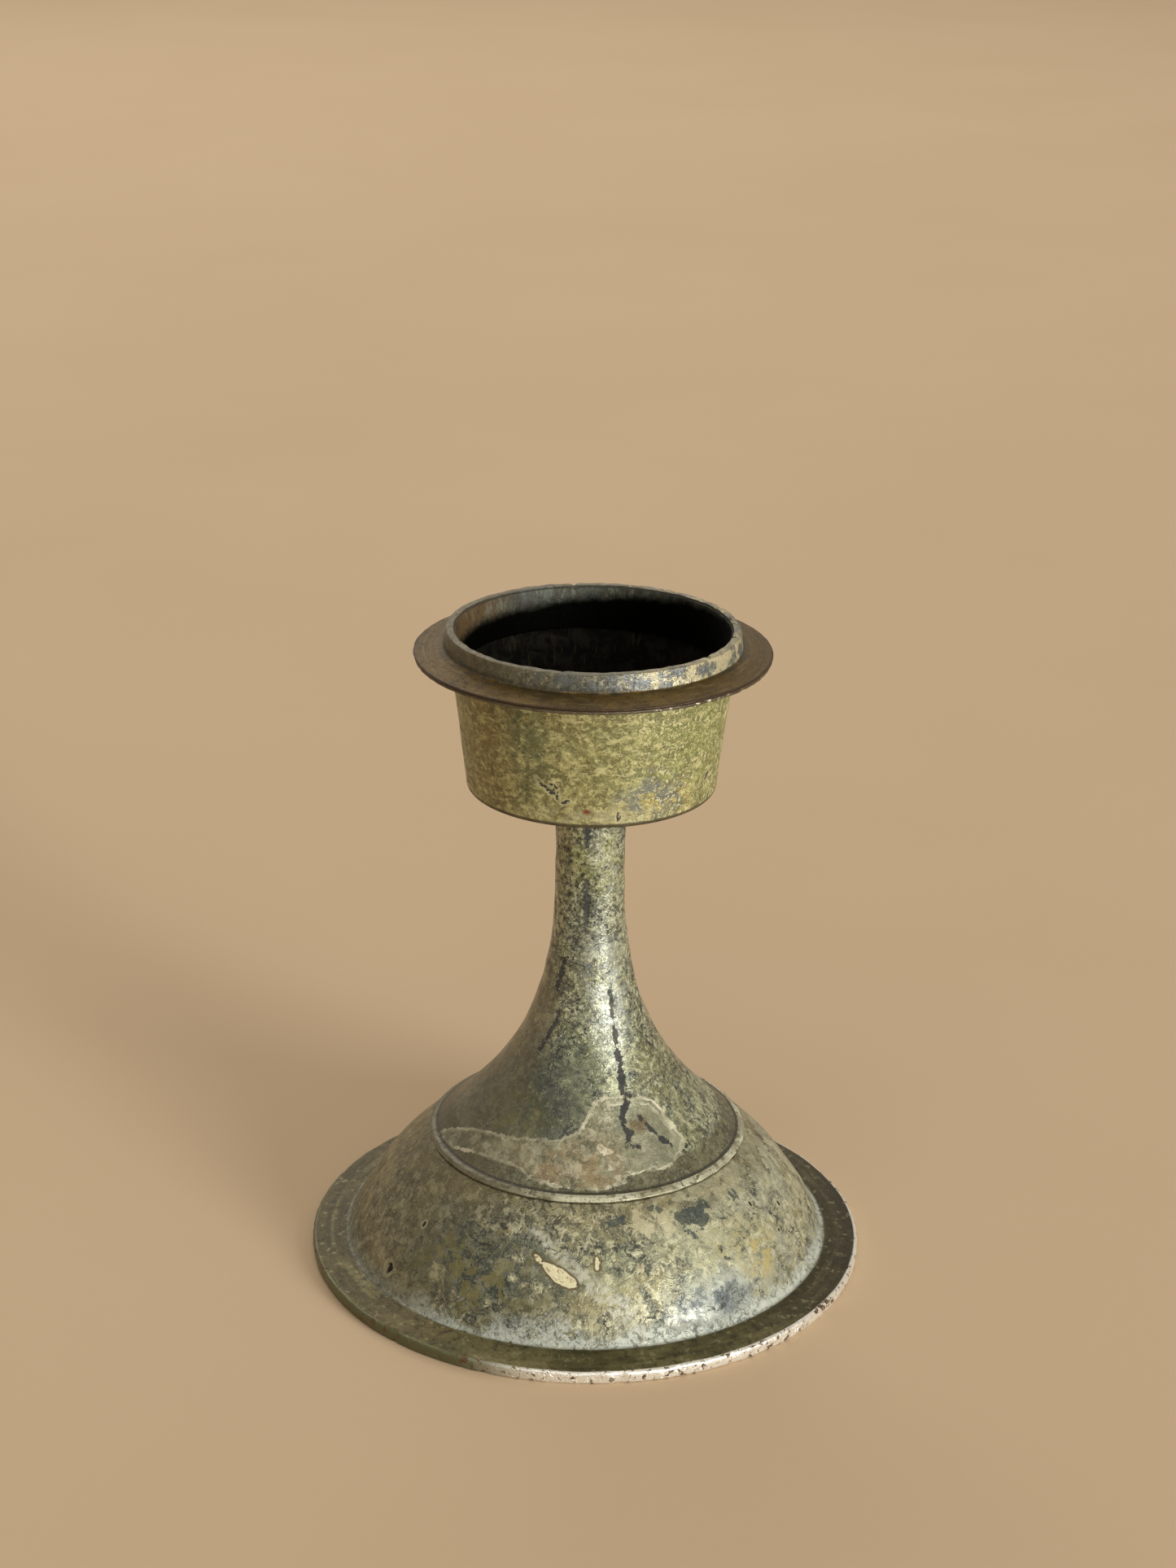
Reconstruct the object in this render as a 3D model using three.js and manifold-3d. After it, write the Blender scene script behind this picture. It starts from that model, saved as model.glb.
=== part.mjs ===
// A brass candlestick made of turned pieces clamped together by one rod.
//
// Millimetres, +Z up. The origin is the centre of the foot's underside, on the turning axis.
// A domed foot carries a trumpet-shaped stem, and the stem carries a tapered cup. A threaded rod runs
// from a boss under the cup, down the stem, to a strip that bridges the foot's top opening from below,
// where a washer and a nut draw everything tight. A loose candle ring drops into the cup's mouth.

import * as THREE from "three";
import { mergeVertices } from "three/addons/utils/BufferGeometryUtils.js";
import Module from "manifold-3d";

const wasm = await Module();
wasm.setup();

// ---------------------------------------------------------------- driving dimensions

const SIDES = 48; // facets round the large turned pieces
const FINE_SIDES = 24; // facets round the rod, the boss and the holes that they pass through

const FOOT_RADIUS = 53; // outside of the brim
const BRIM_EDGE = 2.42; // thickness of the brim at its edge
const BRIM_INNER = 45; // inner edge of the flat ring that the foot stands on
const DOME_FOOT = { r: 46.05, z: 3.26 }; // where the dome rises from the brim
const DOME_TOP = { r: 30.3, z: 23.8 }; // outer corner of the land that the stem stands on
const DOME_RISE = 1.6; // how far the dome's outline bulges from a straight cone
const HOLLOW_FOOT = { r: 44.3, z: 1.2 }; // where the dome's inside rises from the ring
const FOOT_WALL = 2;
const FOOT_SLOPE_WALL = 1.5; // the dome's wall, measured level, where it meets the land
const FOOT_OPENING = 24; // radius of the hole in the dome's land

const STEM_RIM = 30.4; // the stem's lower rim, a low bead round the dome's land
const FLARE_MOUTH = { r: 28.8, z: 25.2 }; // where the flare's hollow curve starts, above the rim bead
const NECK_RADIUS = 6.5;
const FLARE_TOP = 85; // height at which the flare's curve has died away into the neck
const FLARE_POWER = 3.15; // how quickly the flare narrows
const FLARE_STEPS = { outside: 11, inside: 7 };
const FLARE_SPACING = 1.3; // above 1, so that the steps are closer together near the mouth
const STEM_BORE = 3.2;

const CUP_FLOOR = 95; // underside of the cup's floor, on top of the stem
const CUP_FLOOR_RADIUS = 22.9;
const CUP_HEEL = 1; // rounding where the floor turns up into the wall
const CUP_TAPER = 0.125; // growth in radius for each millimetre of height
const CUP_WALL = 0.9;
const CUP_FLOOR_WALL = 1.2;
const CUP_BRIM = { r: 32.3, under: 119.74, top: 120.34 };

const RING_BRIM = 32.55; // outside of the candle ring's brim
const RING_REST = 0.1; // the loose ring's clearance over the cup's brim
const COLLAR_FOOT = { r: 27, z: 121.96 };
const COLLAR_TOP = { r: 26.68, z: 125.2 };
const COLLAR_BORE = 25.26; // inside of the collar's top
const SKIRT_DEPTH = 3.2; // how far the ring's skirt reaches down into the cup
const SKIRT_CLEARANCE = 0.3;

const ROD_RADIUS = 2.5;
const ROD_END = { low: 9.6, high: 94 };
const BOSS = { r: 4.2, low: 87, bore: 2.55, boreTop: 94.5, rivet: 3, rivetHole: 3.05 };
const BOSS_CLEARANCE = 0.3; // room in the neck beside the boss and below it
const BAR = { length: 55, width: 12, thickness: 3, hole: 2.8 };
const WASHER = { r: 5, hole: 2.7, thickness: 1 };
const NUT = { acrossFlats: 8, thickness: 4, bore: 2.55 };

// ---------------------------------------------------------------- geometry helpers

// A point of a turned outline: radius, then height.
const at = (r, z) => new THREE.Vector2(r, z);

// Points on a circular arc from a to b that bulges outwards by rise at its middle, ends included.
function bulge(a, b, rise, steps) {
  const chord = b.clone().sub(a);
  const outward = at(chord.y, -chord.x).normalize();
  const radius = (chord.lengthSq() / 4 + rise * rise) / (2 * rise);
  const centre = a.clone().add(b).multiplyScalar(0.5).addScaledVector(outward, rise - radius);
  const start = a.clone().sub(centre).angle();
  const sweep = b.clone().sub(centre).angle() - start;
  return Array.from({ length: steps + 1 }, (_, i) => {
    const angle = start + (sweep * i) / steps;
    return at(centre.x + radius * Math.cos(angle), centre.y + radius * Math.sin(angle));
  });
}

// Points of a rounded corner: the quarter circle about (r, z) that starts at fromDegrees.
function corner(r, z, radius, fromDegrees, steps = 3) {
  return Array.from({ length: steps + 1 }, (_, i) => {
    const angle = THREE.MathUtils.degToRad(fromDegrees + (90 * i) / steps);
    return at(r + radius * Math.cos(angle), z + radius * Math.sin(angle));
  });
}

// Turns a closed outline, listed anticlockwise with the axis on its left, about +Z.
function turned(outline, sides = SIDES) {
  const closed = [...outline, outline[0].clone()];
  return new THREE.LatheGeometry(closed, sides).rotateX(Math.PI / 2);
}

// A flat plate of the given outline, lying on the plane z = low.
function plate(shape, low, thickness) {
  const options = { depth: thickness, bevelEnabled: false, curveSegments: FINE_SIDES / 2 };
  return new THREE.ExtrudeGeometry(shape, options).translate(0, 0, low);
}

function roundHole(radius) {
  return new THREE.Path().absarc(0, 0, radius, 0, 2 * Math.PI, true);
}

// A closed geometry as a solid that can be cut.
function solidOf(geometry) {
  const bare = geometry.index ? geometry.toNonIndexed() : geometry.clone();
  bare.deleteAttribute("normal");
  bare.deleteAttribute("uv");
  const merged = mergeVertices(bare, 1e-4);
  return new wasm.Manifold(
    new wasm.Mesh({
      numProp: 3,
      vertProperties: new Float32Array(merged.attributes.position.array),
      triVerts: new Uint32Array(merged.index.array),
    }),
  );
}

function geometryOf(solid) {
  const mesh = solid.getMesh();
  const geometry = new THREE.BufferGeometry();
  geometry.setAttribute("position", new THREE.BufferAttribute(mesh.vertProperties, 3));
  geometry.setIndex(new THREE.BufferAttribute(mesh.triVerts, 1));
  geometry.computeVertexNormals();
  return geometry;
}

function piece(name, geometry, finish) {
  const mesh = new THREE.Mesh(geometry, new THREE.MeshStandardMaterial(finish));
  mesh.name = name;
  return mesh;
}

// ---------------------------------------------------------------- foot

const LAND_UNDERSIDE = DOME_TOP.z - FOOT_WALL; // where the clamp bar bears

// A dome on a flat brim, with a flat land at the top and a round opening through it.
function foot() {
  const edge = 0.6; // rounding of the brim's edge
  const steps = 6;
  const hollowTop = at(DOME_TOP.r - FOOT_SLOPE_WALL, LAND_UNDERSIDE);
  const outside = bulge(at(DOME_FOOT.r, DOME_FOOT.z), at(DOME_TOP.r, DOME_TOP.z), DOME_RISE, steps);
  const inside = bulge(at(HOLLOW_FOOT.r, HOLLOW_FOOT.z), hollowTop, DOME_RISE, steps);
  return turned([
    at(BRIM_INNER, 0),
    ...corner(FOOT_RADIUS - edge, edge, edge, 270),
    ...corner(FOOT_RADIUS - edge, BRIM_EDGE - edge, edge, 0),
    ...outside,
    at(FOOT_OPENING, DOME_TOP.z),
    at(FOOT_OPENING, LAND_UNDERSIDE),
    ...inside.reverse(),
  ]);
}

// ---------------------------------------------------------------- stem

// Radius of a trumpet curve at height z: mouth at the flare's bottom, dying away into the neck.
function flareRadius(z, neck, mouth) {
  const left = Math.max(0, (FLARE_TOP - z) / (FLARE_TOP - FLARE_MOUTH.z));
  return neck + (mouth - neck) * left ** FLARE_POWER;
}

// The trumpet's outline from the mouth up.
function flare(neck, mouth, steps) {
  return Array.from({ length: steps + 1 }, (_, i) => {
    const z = FLARE_MOUTH.z + (FLARE_TOP - FLARE_MOUTH.z) * (i / steps) ** FLARE_SPACING;
    return at(flareRadius(z, neck, mouth), z);
  });
}

// A trumpet standing on the dome's land, with a bead round its rim, a hollow flare and a bored neck.
// The bead is relieved underneath, which leaves a thin seam between the stem and the dome.
function stem() {
  const seat = { inner: 26, outer: 29.4 };
  const seamTop = DOME_TOP.z + 0.25;
  const ease = 0.25; // rounding of the bead's edges
  const neckTop = NECK_RADIUS + 0.2; // the neck thickens a little towards the cup
  const counterbore = BOSS.r + BOSS_CLEARANCE;
  const counterboreFloor = BOSS.low - BOSS_CLEARANCE;
  const hollow = flare(STEM_BORE, seat.inner, FLARE_STEPS.inside);
  return turned([
    at(seat.inner, DOME_TOP.z),
    at(seat.outer, DOME_TOP.z),
    at(seat.outer, seamTop),
    at(STEM_RIM - ease, seamTop),
    at(STEM_RIM, seamTop + ease),
    at(STEM_RIM - 2 * ease, FLARE_MOUTH.z - ease),
    ...flare(NECK_RADIUS, FLARE_MOUTH.r, FLARE_STEPS.outside),
    at(neckTop, CUP_FLOOR),
    at(counterbore, CUP_FLOOR),
    at(counterbore, counterboreFloor),
    at(STEM_BORE, counterboreFloor),
    ...hollow.reverse(),
  ]);
}

// ---------------------------------------------------------------- cup

// Radius of the cup's outside at height z.
const cupRadius = (z) => CUP_FLOOR_RADIUS + CUP_TAPER * (z - CUP_FLOOR - CUP_HEEL);

// Radius of the cup's inside at height z.
const cupInside = (z) => cupRadius(z) - CUP_WALL;

// A tapered bucket with a flat floor, a small hole for the boss's rivet, and an out-turned brim.
function cup() {
  const floorTop = CUP_FLOOR + CUP_FLOOR_WALL;
  const edge = 0.25; // rounding of the brim's edge
  const turn = 0.8; // how far below the brim the wall starts to turn out
  const turnOut = 0.6; // how far the wall has turned out where it meets the brim
  const { r: brim, under, top } = CUP_BRIM;
  const innerHeel = corner(cupInside(floorTop + CUP_HEEL) - CUP_HEEL, floorTop + CUP_HEEL, CUP_HEEL, 270, 2);
  return turned([
    at(BOSS.rivetHole, CUP_FLOOR),
    ...corner(CUP_FLOOR_RADIUS - CUP_HEEL, CUP_FLOOR + CUP_HEEL, CUP_HEEL, 270),
    at(cupRadius(under - turn), under - turn),
    at(cupRadius(under) + turnOut, under),
    ...corner(brim - edge, under + edge, edge, 270, 2),
    ...corner(brim - edge, top - edge, edge, 0, 2),
    at(cupRadius(top), top),
    at(cupInside(top - turn), top - turn),
    ...innerHeel.reverse(),
    at(BOSS.rivetHole, floorTop),
  ]);
}

// ---------------------------------------------------------------- candle ring

// A thin brim that rests on the cup's brim, a collar standing up from it, and a skirt inside the cup.
function candleRing() {
  const under = CUP_BRIM.top + RING_REST;
  const skirtFoot = CUP_BRIM.top - SKIRT_DEPTH;
  const skirt = (z) => cupInside(z) - SKIRT_CLEARANCE;
  const skirtWall = 0.8;
  const turn = 1; // how far below the brim the skirt starts to turn out, and how far it turns
  const edge = 0.2; // rounding of the brim's edge
  const fillet = 0.5; // width of the fillet between the brim and the collar
  const lip = 0.35; // rounding of the collar's top outside
  const bevel = 0.25; // and inside
  return turned([
    at(skirt(skirtFoot) - skirtWall, skirtFoot),
    at(skirt(skirtFoot), skirtFoot),
    at(skirt(under - turn), under - turn),
    at(skirt(under) + turn, under),
    at(RING_BRIM - edge, under),
    at(RING_BRIM, under + edge),
    at(RING_BRIM, under + 2 * edge),
    at(COLLAR_FOOT.r + fillet, COLLAR_FOOT.z - fillet / 2),
    at(COLLAR_FOOT.r, COLLAR_FOOT.z),
    ...corner(COLLAR_TOP.r - lip, COLLAR_TOP.z - lip, lip, 0, 2),
    at(COLLAR_BORE + bevel, COLLAR_TOP.z),
    at(COLLAR_BORE, COLLAR_TOP.z - bevel),
  ]);
}

// ---------------------------------------------------------------- fastening down the middle

// A boss threaded onto the rod, with a rivet end that fills the cup's floor hole flush.
function cupBoss() {
  return turned([
    at(0, BOSS.boreTop),
    at(BOSS.bore, BOSS.boreTop),
    at(BOSS.bore, BOSS.low),
    at(BOSS.r, BOSS.low),
    at(BOSS.r, CUP_FLOOR),
    at(BOSS.rivet, CUP_FLOOR),
    at(BOSS.rivet, CUP_FLOOR + CUP_FLOOR_WALL),
    at(0, CUP_FLOOR + CUP_FLOOR_WALL),
  ]);
}

function tieRod() {
  const chamfer = 0.4;
  const { low, high } = ROD_END;
  return turned(
    [
      at(0, low),
      at(ROD_RADIUS - chamfer, low),
      at(ROD_RADIUS, low + chamfer),
      at(ROD_RADIUS, high - chamfer),
      at(ROD_RADIUS - chamfer, high),
      at(0, high),
    ],
    FINE_SIDES,
  );
}

// A strip with round ends, lying across the underside of the dome's land.
function clampBar() {
  const { length, width, thickness, hole } = BAR;
  const reach = (length - width) / 2;
  const outline = new THREE.Shape()
    .absarc(reach, 0, width / 2, -Math.PI / 2, Math.PI / 2)
    .absarc(-reach, 0, width / 2, Math.PI / 2, (3 * Math.PI) / 2);
  outline.holes.push(roundHole(hole));
  return plate(outline, LAND_UNDERSIDE - thickness, thickness);
}

const WASHER_UNDERSIDE = LAND_UNDERSIDE - BAR.thickness - WASHER.thickness;

function footWasher() {
  const outline = new THREE.Shape().absarc(0, 0, WASHER.r, 0, 2 * Math.PI);
  outline.holes.push(roundHole(WASHER.hole));
  return plate(outline, WASHER_UNDERSIDE, WASHER.thickness);
}

// A hexagon nut: a bored prism whose corners are cut back by a double cone at both faces.
function footNut() {
  const { acrossFlats, thickness, bore } = NUT;
  const low = WASHER_UNDERSIDE - thickness;
  const acrossCorners = acrossFlats / Math.cos(Math.PI / 6);
  const hexagon = new THREE.Shape(
    Array.from({ length: 6 }, (_, i) => {
      const angle = (i * Math.PI) / 3;
      return at((acrossCorners / 2) * Math.cos(angle), (acrossCorners / 2) * Math.sin(angle));
    }),
  );
  hexagon.holes.push(roundHole(bore));
  const faceRadius = (0.95 * acrossFlats) / 2; // where the flat of each face ends and the cone starts
  const slope = 0.4; // height of the chamfer's cone for each millimetre of radius
  const margin = 0.1; // how far the cones reach past the hexagon's corners
  const widest = acrossCorners / 2 + margin;
  const rise = (widest - faceRadius) * slope;
  const chamfer = turned(
    [
      at(0, low),
      at(faceRadius, low),
      at(widest, low + rise),
      at(widest, low + thickness - rise),
      at(faceRadius, low + thickness),
      at(0, low + thickness),
    ],
    FINE_SIDES,
  );
  const prism = plate(hexagon, low, thickness);
  return geometryOf(solidOf(prism).intersect(solidOf(chamfer)));
}

// ---------------------------------------------------------------- assembly

const FINISH = {
  foot: { color: 0x6f6b4e, roughness: 0.55, metalness: 0.7 },
  stem: { color: 0x7a7a5e, roughness: 0.5, metalness: 0.7 },
  cup: { color: 0x92885a, roughness: 0.6, metalness: 0.6 },
  ring: { color: 0x685d40, roughness: 0.5, metalness: 0.7 },
  bareBrass: { color: 0x9a7f45, roughness: 0.45, metalness: 1 },
  rustySteel: { color: 0x5c5148, roughness: 0.6, metalness: 0.9 },
};

const fastening = new THREE.Group();
fastening.add(
  piece("cup_boss", cupBoss(), FINISH.bareBrass),
  piece("tie_rod", tieRod(), FINISH.rustySteel),
  piece("clamp_bar", clampBar(), FINISH.rustySteel),
  piece("foot_washer", footWasher(), FINISH.rustySteel),
  piece("foot_nut", footNut(), FINISH.rustySteel),
);

const candlestick = new THREE.Group();
candlestick.add(
  piece("foot", foot(), FINISH.foot),
  piece("stem", stem(), FINISH.stem),
  piece("cup", cup(), FINISH.cup),
  piece("candle_ring", candleRing(), FINISH.ring),
  fastening,
);

export default candlestick;
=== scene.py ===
"""Looks for a brass candlestick: a domed foot, a trumpet stem, a tapered cup and a loose candle ring.

Every CAD node is replaced by a fine mesh of the same size, with worn edges, nicks and dents, and a
procedural patina, into whose colour some light and shade are also painted. Lengths in this file are
millimetres until a mesh is made, and bearings are degrees round the turning axis: 0 faces the camera
(-Y) and 90 is to its right (+X).
"""

from collections import namedtuple
import math

import bpy
import numpy as np
from mathutils import Matrix, Vector


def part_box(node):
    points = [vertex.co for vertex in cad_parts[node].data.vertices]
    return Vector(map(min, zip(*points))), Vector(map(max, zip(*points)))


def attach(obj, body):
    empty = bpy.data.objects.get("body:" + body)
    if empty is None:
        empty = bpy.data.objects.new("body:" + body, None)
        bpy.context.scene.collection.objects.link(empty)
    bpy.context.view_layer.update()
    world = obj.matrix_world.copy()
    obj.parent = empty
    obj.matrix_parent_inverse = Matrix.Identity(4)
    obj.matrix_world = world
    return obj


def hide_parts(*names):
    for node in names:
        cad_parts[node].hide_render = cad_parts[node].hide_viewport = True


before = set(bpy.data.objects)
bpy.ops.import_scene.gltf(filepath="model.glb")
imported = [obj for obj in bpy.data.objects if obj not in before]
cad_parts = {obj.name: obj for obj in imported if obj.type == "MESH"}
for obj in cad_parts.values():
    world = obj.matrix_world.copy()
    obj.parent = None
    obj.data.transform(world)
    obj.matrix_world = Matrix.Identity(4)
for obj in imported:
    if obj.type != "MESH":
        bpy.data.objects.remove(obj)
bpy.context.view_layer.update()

MM = 0.001


# ------------------------------------------------------------------ sizes from the frame


def size_of(node):
    """(outer radius, lowest height, highest height) of a turned CAD node, in millimetres."""
    low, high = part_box(node)
    return high.x / MM, low.z / MM, high.z / MM


FOOT_R, FOOT_LOW, FOOT_TOP = size_of("foot")
STEM_R, STEM_LOW, STEM_TOP = size_of("stem")
CUP_R, CUP_LOW, CUP_TOP = size_of("cup")
RING_R, RING_LOW, RING_TOP = size_of("candle_ring")
BOSS_R, BOSS_LOW, BOSS_TOP = size_of("cup_boss")
ROD_R, ROD_LOW, ROD_TOP = size_of("tie_rod")
BAR_HALF, BAR_LOW, BAR_TOP = size_of("clamp_bar")
WASHER_R, WASHER_LOW, WASHER_TOP = size_of("foot_washer")
NUT_R, NUT_LOW, NUT_TOP = size_of("foot_nut")
BAR_WIDTH = 2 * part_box("clamp_bar")[1].y / MM

# Turned outlines stop this far from the axis, so that no two points fall together there.
AXIS_R = 0.02

# Foot. Pairs are (radius, height): where the dome leaves the brim, and where it ends.
BRIM_EDGE = 2.42
DOME_FOOT = (46.05, 3.26)
DOME_TOP = (30.3, FOOT_TOP)
DOME_RISE = 1.6
RIM_INNER_R = 45.0
DOME_WALL = 1.5
FOOT_OPENING = 24.0
LAND_UNDERSIDE = BAR_TOP

# Stem: the trumpet curve, the hollow in it, and the recess under its rim.
FLARE_LOW = 25.2
FLARE_TOP = 85.0
FLARE_POWER = 3.15
FLARE_MOUTH = 28.8
HOLLOW_MOUTH = 26.0
RECESS_R = 29.4
RECESS = 0.25
NECK_R = 6.5
BORE_R = 3.2

# Cup. The taper is the growth in radius for each millimetre of height.
CUP_FLOOR_R = 22.9
CUP_TAPER = 0.125
CUP_WALL = 0.9
CUP_FLOOR = 1.2
CUP_BRIM = 0.6
RIVET_HOLE = 3.05

# Candle ring: where its collar leaves its brim, and the collar's top and bore.
COLLAR_FOOT = (27.0, 121.96)
COLLAR_R = 26.68
COLLAR_BORE = 25.26


# ------------------------------------------------------------------ outlines


def arc(a, b, rise, count):
    """Points on a circular arc from a to b that bulges out by rise, both ends included."""
    a, b = np.array(a, float), np.array(b, float)
    chord = b - a
    length = np.hypot(*chord)
    outward = np.array([chord[1], -chord[0]]) / length
    radius = (length**2 / 4 + rise**2) / (2 * rise)
    centre = (a + b) / 2 + outward * (rise - radius)
    start = math.atan2(*(a - centre)[::-1])
    end = math.atan2(*(b - centre)[::-1])
    turns = np.linspace(start, end, count)
    return [tuple(centre + radius * np.array([math.cos(t), math.sin(t)])) for t in turns]


def flare_radius(height, neck, mouth):
    """Radius of the trumpet curve, which opens from the neck to the mouth."""
    left = np.clip((FLARE_TOP - height) / (FLARE_TOP - FLARE_LOW), 0, 1)
    return neck + (mouth - neck) * left**FLARE_POWER


def flare(neck, mouth, count):
    """The trumpet's outline, from the mouth up."""
    heights = FLARE_LOW + (FLARE_TOP - FLARE_LOW) * np.linspace(0, 1, count) ** 1.25
    return [(float(flare_radius(z, neck, mouth)), float(z)) for z in heights]


def cup_radius(height):
    """Radius of the cup's outside."""
    return CUP_FLOOR_R + CUP_TAPER * (height - CUP_LOW - 1)


def rounded(corners, steps=5):
    """A closed outline from (r, z) points and from (r, z, fillet) corners, which are rounded."""
    outline = []
    count = len(corners)
    for i, corner in enumerate(corners):
        here = np.array(corner[:2], float)
        if len(corner) == 2:
            outline.append(tuple(here))
            continue
        before = np.array(corners[i - 1][:2], float) - here
        after = np.array(corners[(i + 1) % count][:2], float) - here
        reach_before, reach_after = np.hypot(*before), np.hypot(*after)
        before, after = before / reach_before, after / reach_after
        half = math.acos(float(np.clip(before @ after, -1, 1))) / 2
        reach = min(corner[2] / math.tan(half), reach_before / 2.01, reach_after / 2.01)
        start, end = here + before * reach, here + after * reach
        for t in np.linspace(0, 1, steps):
            outline.append(tuple((1 - t) ** 2 * start + 2 * t * (1 - t) * here + t**2 * end))
    return outline


def refined(outline, step):
    """The same closed outline with no stretch longer than step, a length or step(radius, height)."""
    points = []
    for a, b in zip(outline, outline[1:] + outline[:1]):
        a, b = np.array(a), np.array(b)
        longest = step(*a) if callable(step) else step
        count = max(1, math.ceil(np.hypot(*(b - a)) / longest))
        points += [tuple(a + (b - a) * i / count) for i in range(count)]
    return np.array(points)


# ------------------------------------------------------------------ meshes


def ripple(points, size, seed, waves=18):
    """Smooth noise between about -1 and 1 at points, with swells about size across."""
    random = np.random.default_rng(seed)
    direction = random.normal(size=(waves, 3))
    direction /= np.linalg.norm(direction, axis=1)[:, None]
    stretch = random.uniform(0.7, 1.4, waves)[:, None]
    phase = random.uniform(0, 2 * math.pi, waves)
    angle = points @ (direction * stretch * 2 * math.pi / size).T + phase
    return np.cos(angle).sum(axis=1) * math.sqrt(2 / waves) / 1.6


def rubbed(points, size, seed):
    """Smooth noise from 0 to about 2, for wear that only takes material away."""
    return np.maximum(0, 1 + ripple(points, size, seed))


def on_axis(radius, bearing, height):
    """Points from radius, bearing in degrees, and height."""
    turn = np.radians(bearing)
    return np.stack([radius * np.sin(turn), -radius * np.cos(turn), height], axis=-1)


def within(value, low, high):
    """0 below low, 1 above high, and a smooth step between them."""
    t = np.clip((value - low) / (high - low), 0, 1)
    return t * t * (3 - 2 * t)


def new_piece(name, points, faces):
    """An object whose mesh has these points, in millimetres, and faces."""
    mesh = bpy.data.meshes.new(name)
    mesh.from_pydata((np.array(points) * MM).tolist(), [], faces)
    mesh.update()
    piece = bpy.data.objects.new(name, mesh)
    bpy.context.scene.collection.objects.link(piece)
    return piece


def turned(name, outline, sides, worn=None):
    """A mesh turned from a closed outline. worn(points, radius, height, bearing) gives its wear (dr, dz)."""
    bearing = np.tile(np.arange(sides) * 360 / sides, len(outline))
    radius = np.repeat(outline[:, 0], sides)
    height = np.repeat(outline[:, 1], sides)
    if worn is not None:
        change = worn(on_axis(radius, bearing, height), radius, height, bearing)
        radius, height = radius + change[0], height + change[1]
    points = on_axis(radius, bearing, height)
    row = np.arange(len(outline))[:, None] * sides
    column = np.arange(sides)[None, :]
    next_row = np.roll(row, -1, axis=0)
    next_column = (column + 1) % sides
    quads = np.stack([row + column, row + next_column, next_row + next_column, next_row + column], axis=-1)
    piece = new_piece(name, points, quads.reshape(-1, 4).tolist())
    piece.data.polygons.foreach_set("use_smooth", [True] * len(piece.data.polygons))
    piece.data.update()
    return piece


def small_turned(name, corners, sides, material):
    """A small turned piece of one material, with no wear."""
    piece = turned(name, refined(rounded(corners), 0.8), sides)
    piece.data.materials.append(material)
    return piece


def places(piece):
    """The piece's points, in millimetres, as an array."""
    flat = np.zeros(len(piece.data.vertices) * 3)
    piece.data.vertices.foreach_get("co", flat)
    return flat.reshape(-1, 3) / MM


def record_mark(piece, name, values):
    """Stores one number for each point, which the piece's material reads by name."""
    attribute = piece.data.attributes.new(name, "FLOAT", "POINT")
    attribute.data.foreach_set("value", np.asarray(values, np.float32))


def stroke_points(stroke, radius_at, spacing=0.12):
    """Close points along a stroke of (bearing, height, half width), and their half widths."""
    stroke = np.array(stroke, float)
    radius = np.array([radius_at(z) for z in stroke[:, 1]])
    corners = on_axis(radius, stroke[:, 0], stroke[:, 1])
    points, widths = [], []
    for i in range(len(stroke) - 1):
        count = max(2, int(np.linalg.norm(corners[i + 1] - corners[i]) / spacing))
        t = np.linspace(0, 1, count)[:, None]
        points.append(corners[i] + (corners[i + 1] - corners[i]) * t)
        widths.append((stroke[i, 2] + (stroke[i + 1, 2] - stroke[i, 2]) * t)[:, 0])
    return np.concatenate(points), np.concatenate(widths)


def gap_to(sites, strokes, radius_at, reach=4.0):
    """How far each site is from the nearest stroke's edge, up to reach; below zero inside a stroke."""
    nearest = np.full(len(sites), reach)
    for stroke in strokes:
        points, widths = stroke_points(stroke, radius_at)
        middle = points.mean(axis=0)
        size = np.linalg.norm(points - middle, axis=1).max()
        close = np.flatnonzero(np.linalg.norm(sites - middle, axis=1) < size + reach)
        for i in range(0, len(points), 64):
            away = np.linalg.norm(sites[close, None, :] - points[None, i : i + 64, :], axis=2)
            nearest[close] = np.minimum(nearest[close], (away - widths[None, i : i + 64]).min(axis=1))
    return nearest


def record_gaps(piece, radius_at, **marks):
    """Stores how far each point is from each named mark's strokes."""
    for name, strokes in marks.items():
        record_mark(piece, name, gap_to(places(piece), strokes, radius_at))


def thin(path):
    """A stroke of no width from a path of (bearing, height)."""
    return [(bearing, height, 0) for bearing, height in path]


def paint_inside(piece, is_inside):
    """Gives the piece's second material to the faces whose middles are inside."""
    centres = np.zeros(len(piece.data.polygons) * 3)
    piece.data.polygons.foreach_get("center", centres)
    inside = is_inside(*(centres.reshape(-1, 3).T / MM))
    piece.data.polygons.foreach_set("material_index", inside.astype(np.int32))


def bearing_of(points):
    """Bearing of each point, from -180 to 180 degrees."""
    return np.degrees(np.arctan2(points[:, 0], -points[:, 1]))


def notches(bearing, radius, cuts):
    """How deep the listed (bearing, half width, depth) nicks are at each point."""
    deep = np.zeros_like(bearing)
    for centre, half_width, depth in cuts:
        aside = np.radians((bearing - centre + 180) % 360 - 180) * radius
        deep = np.maximum(deep, depth * np.exp(-((aside / half_width) ** 2)))
    return deep


# ------------------------------------------------------------------ materials


def colour(red, green, blue):
    """A linear colour from 0 to 255 display values."""

    def linear(value):
        value /= 255
        return value / 12.92 if value <= 0.04045 else ((value + 0.055) / 1.055) ** 2.4

    return (linear(red), linear(green), linear(blue), 1.0)


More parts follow.
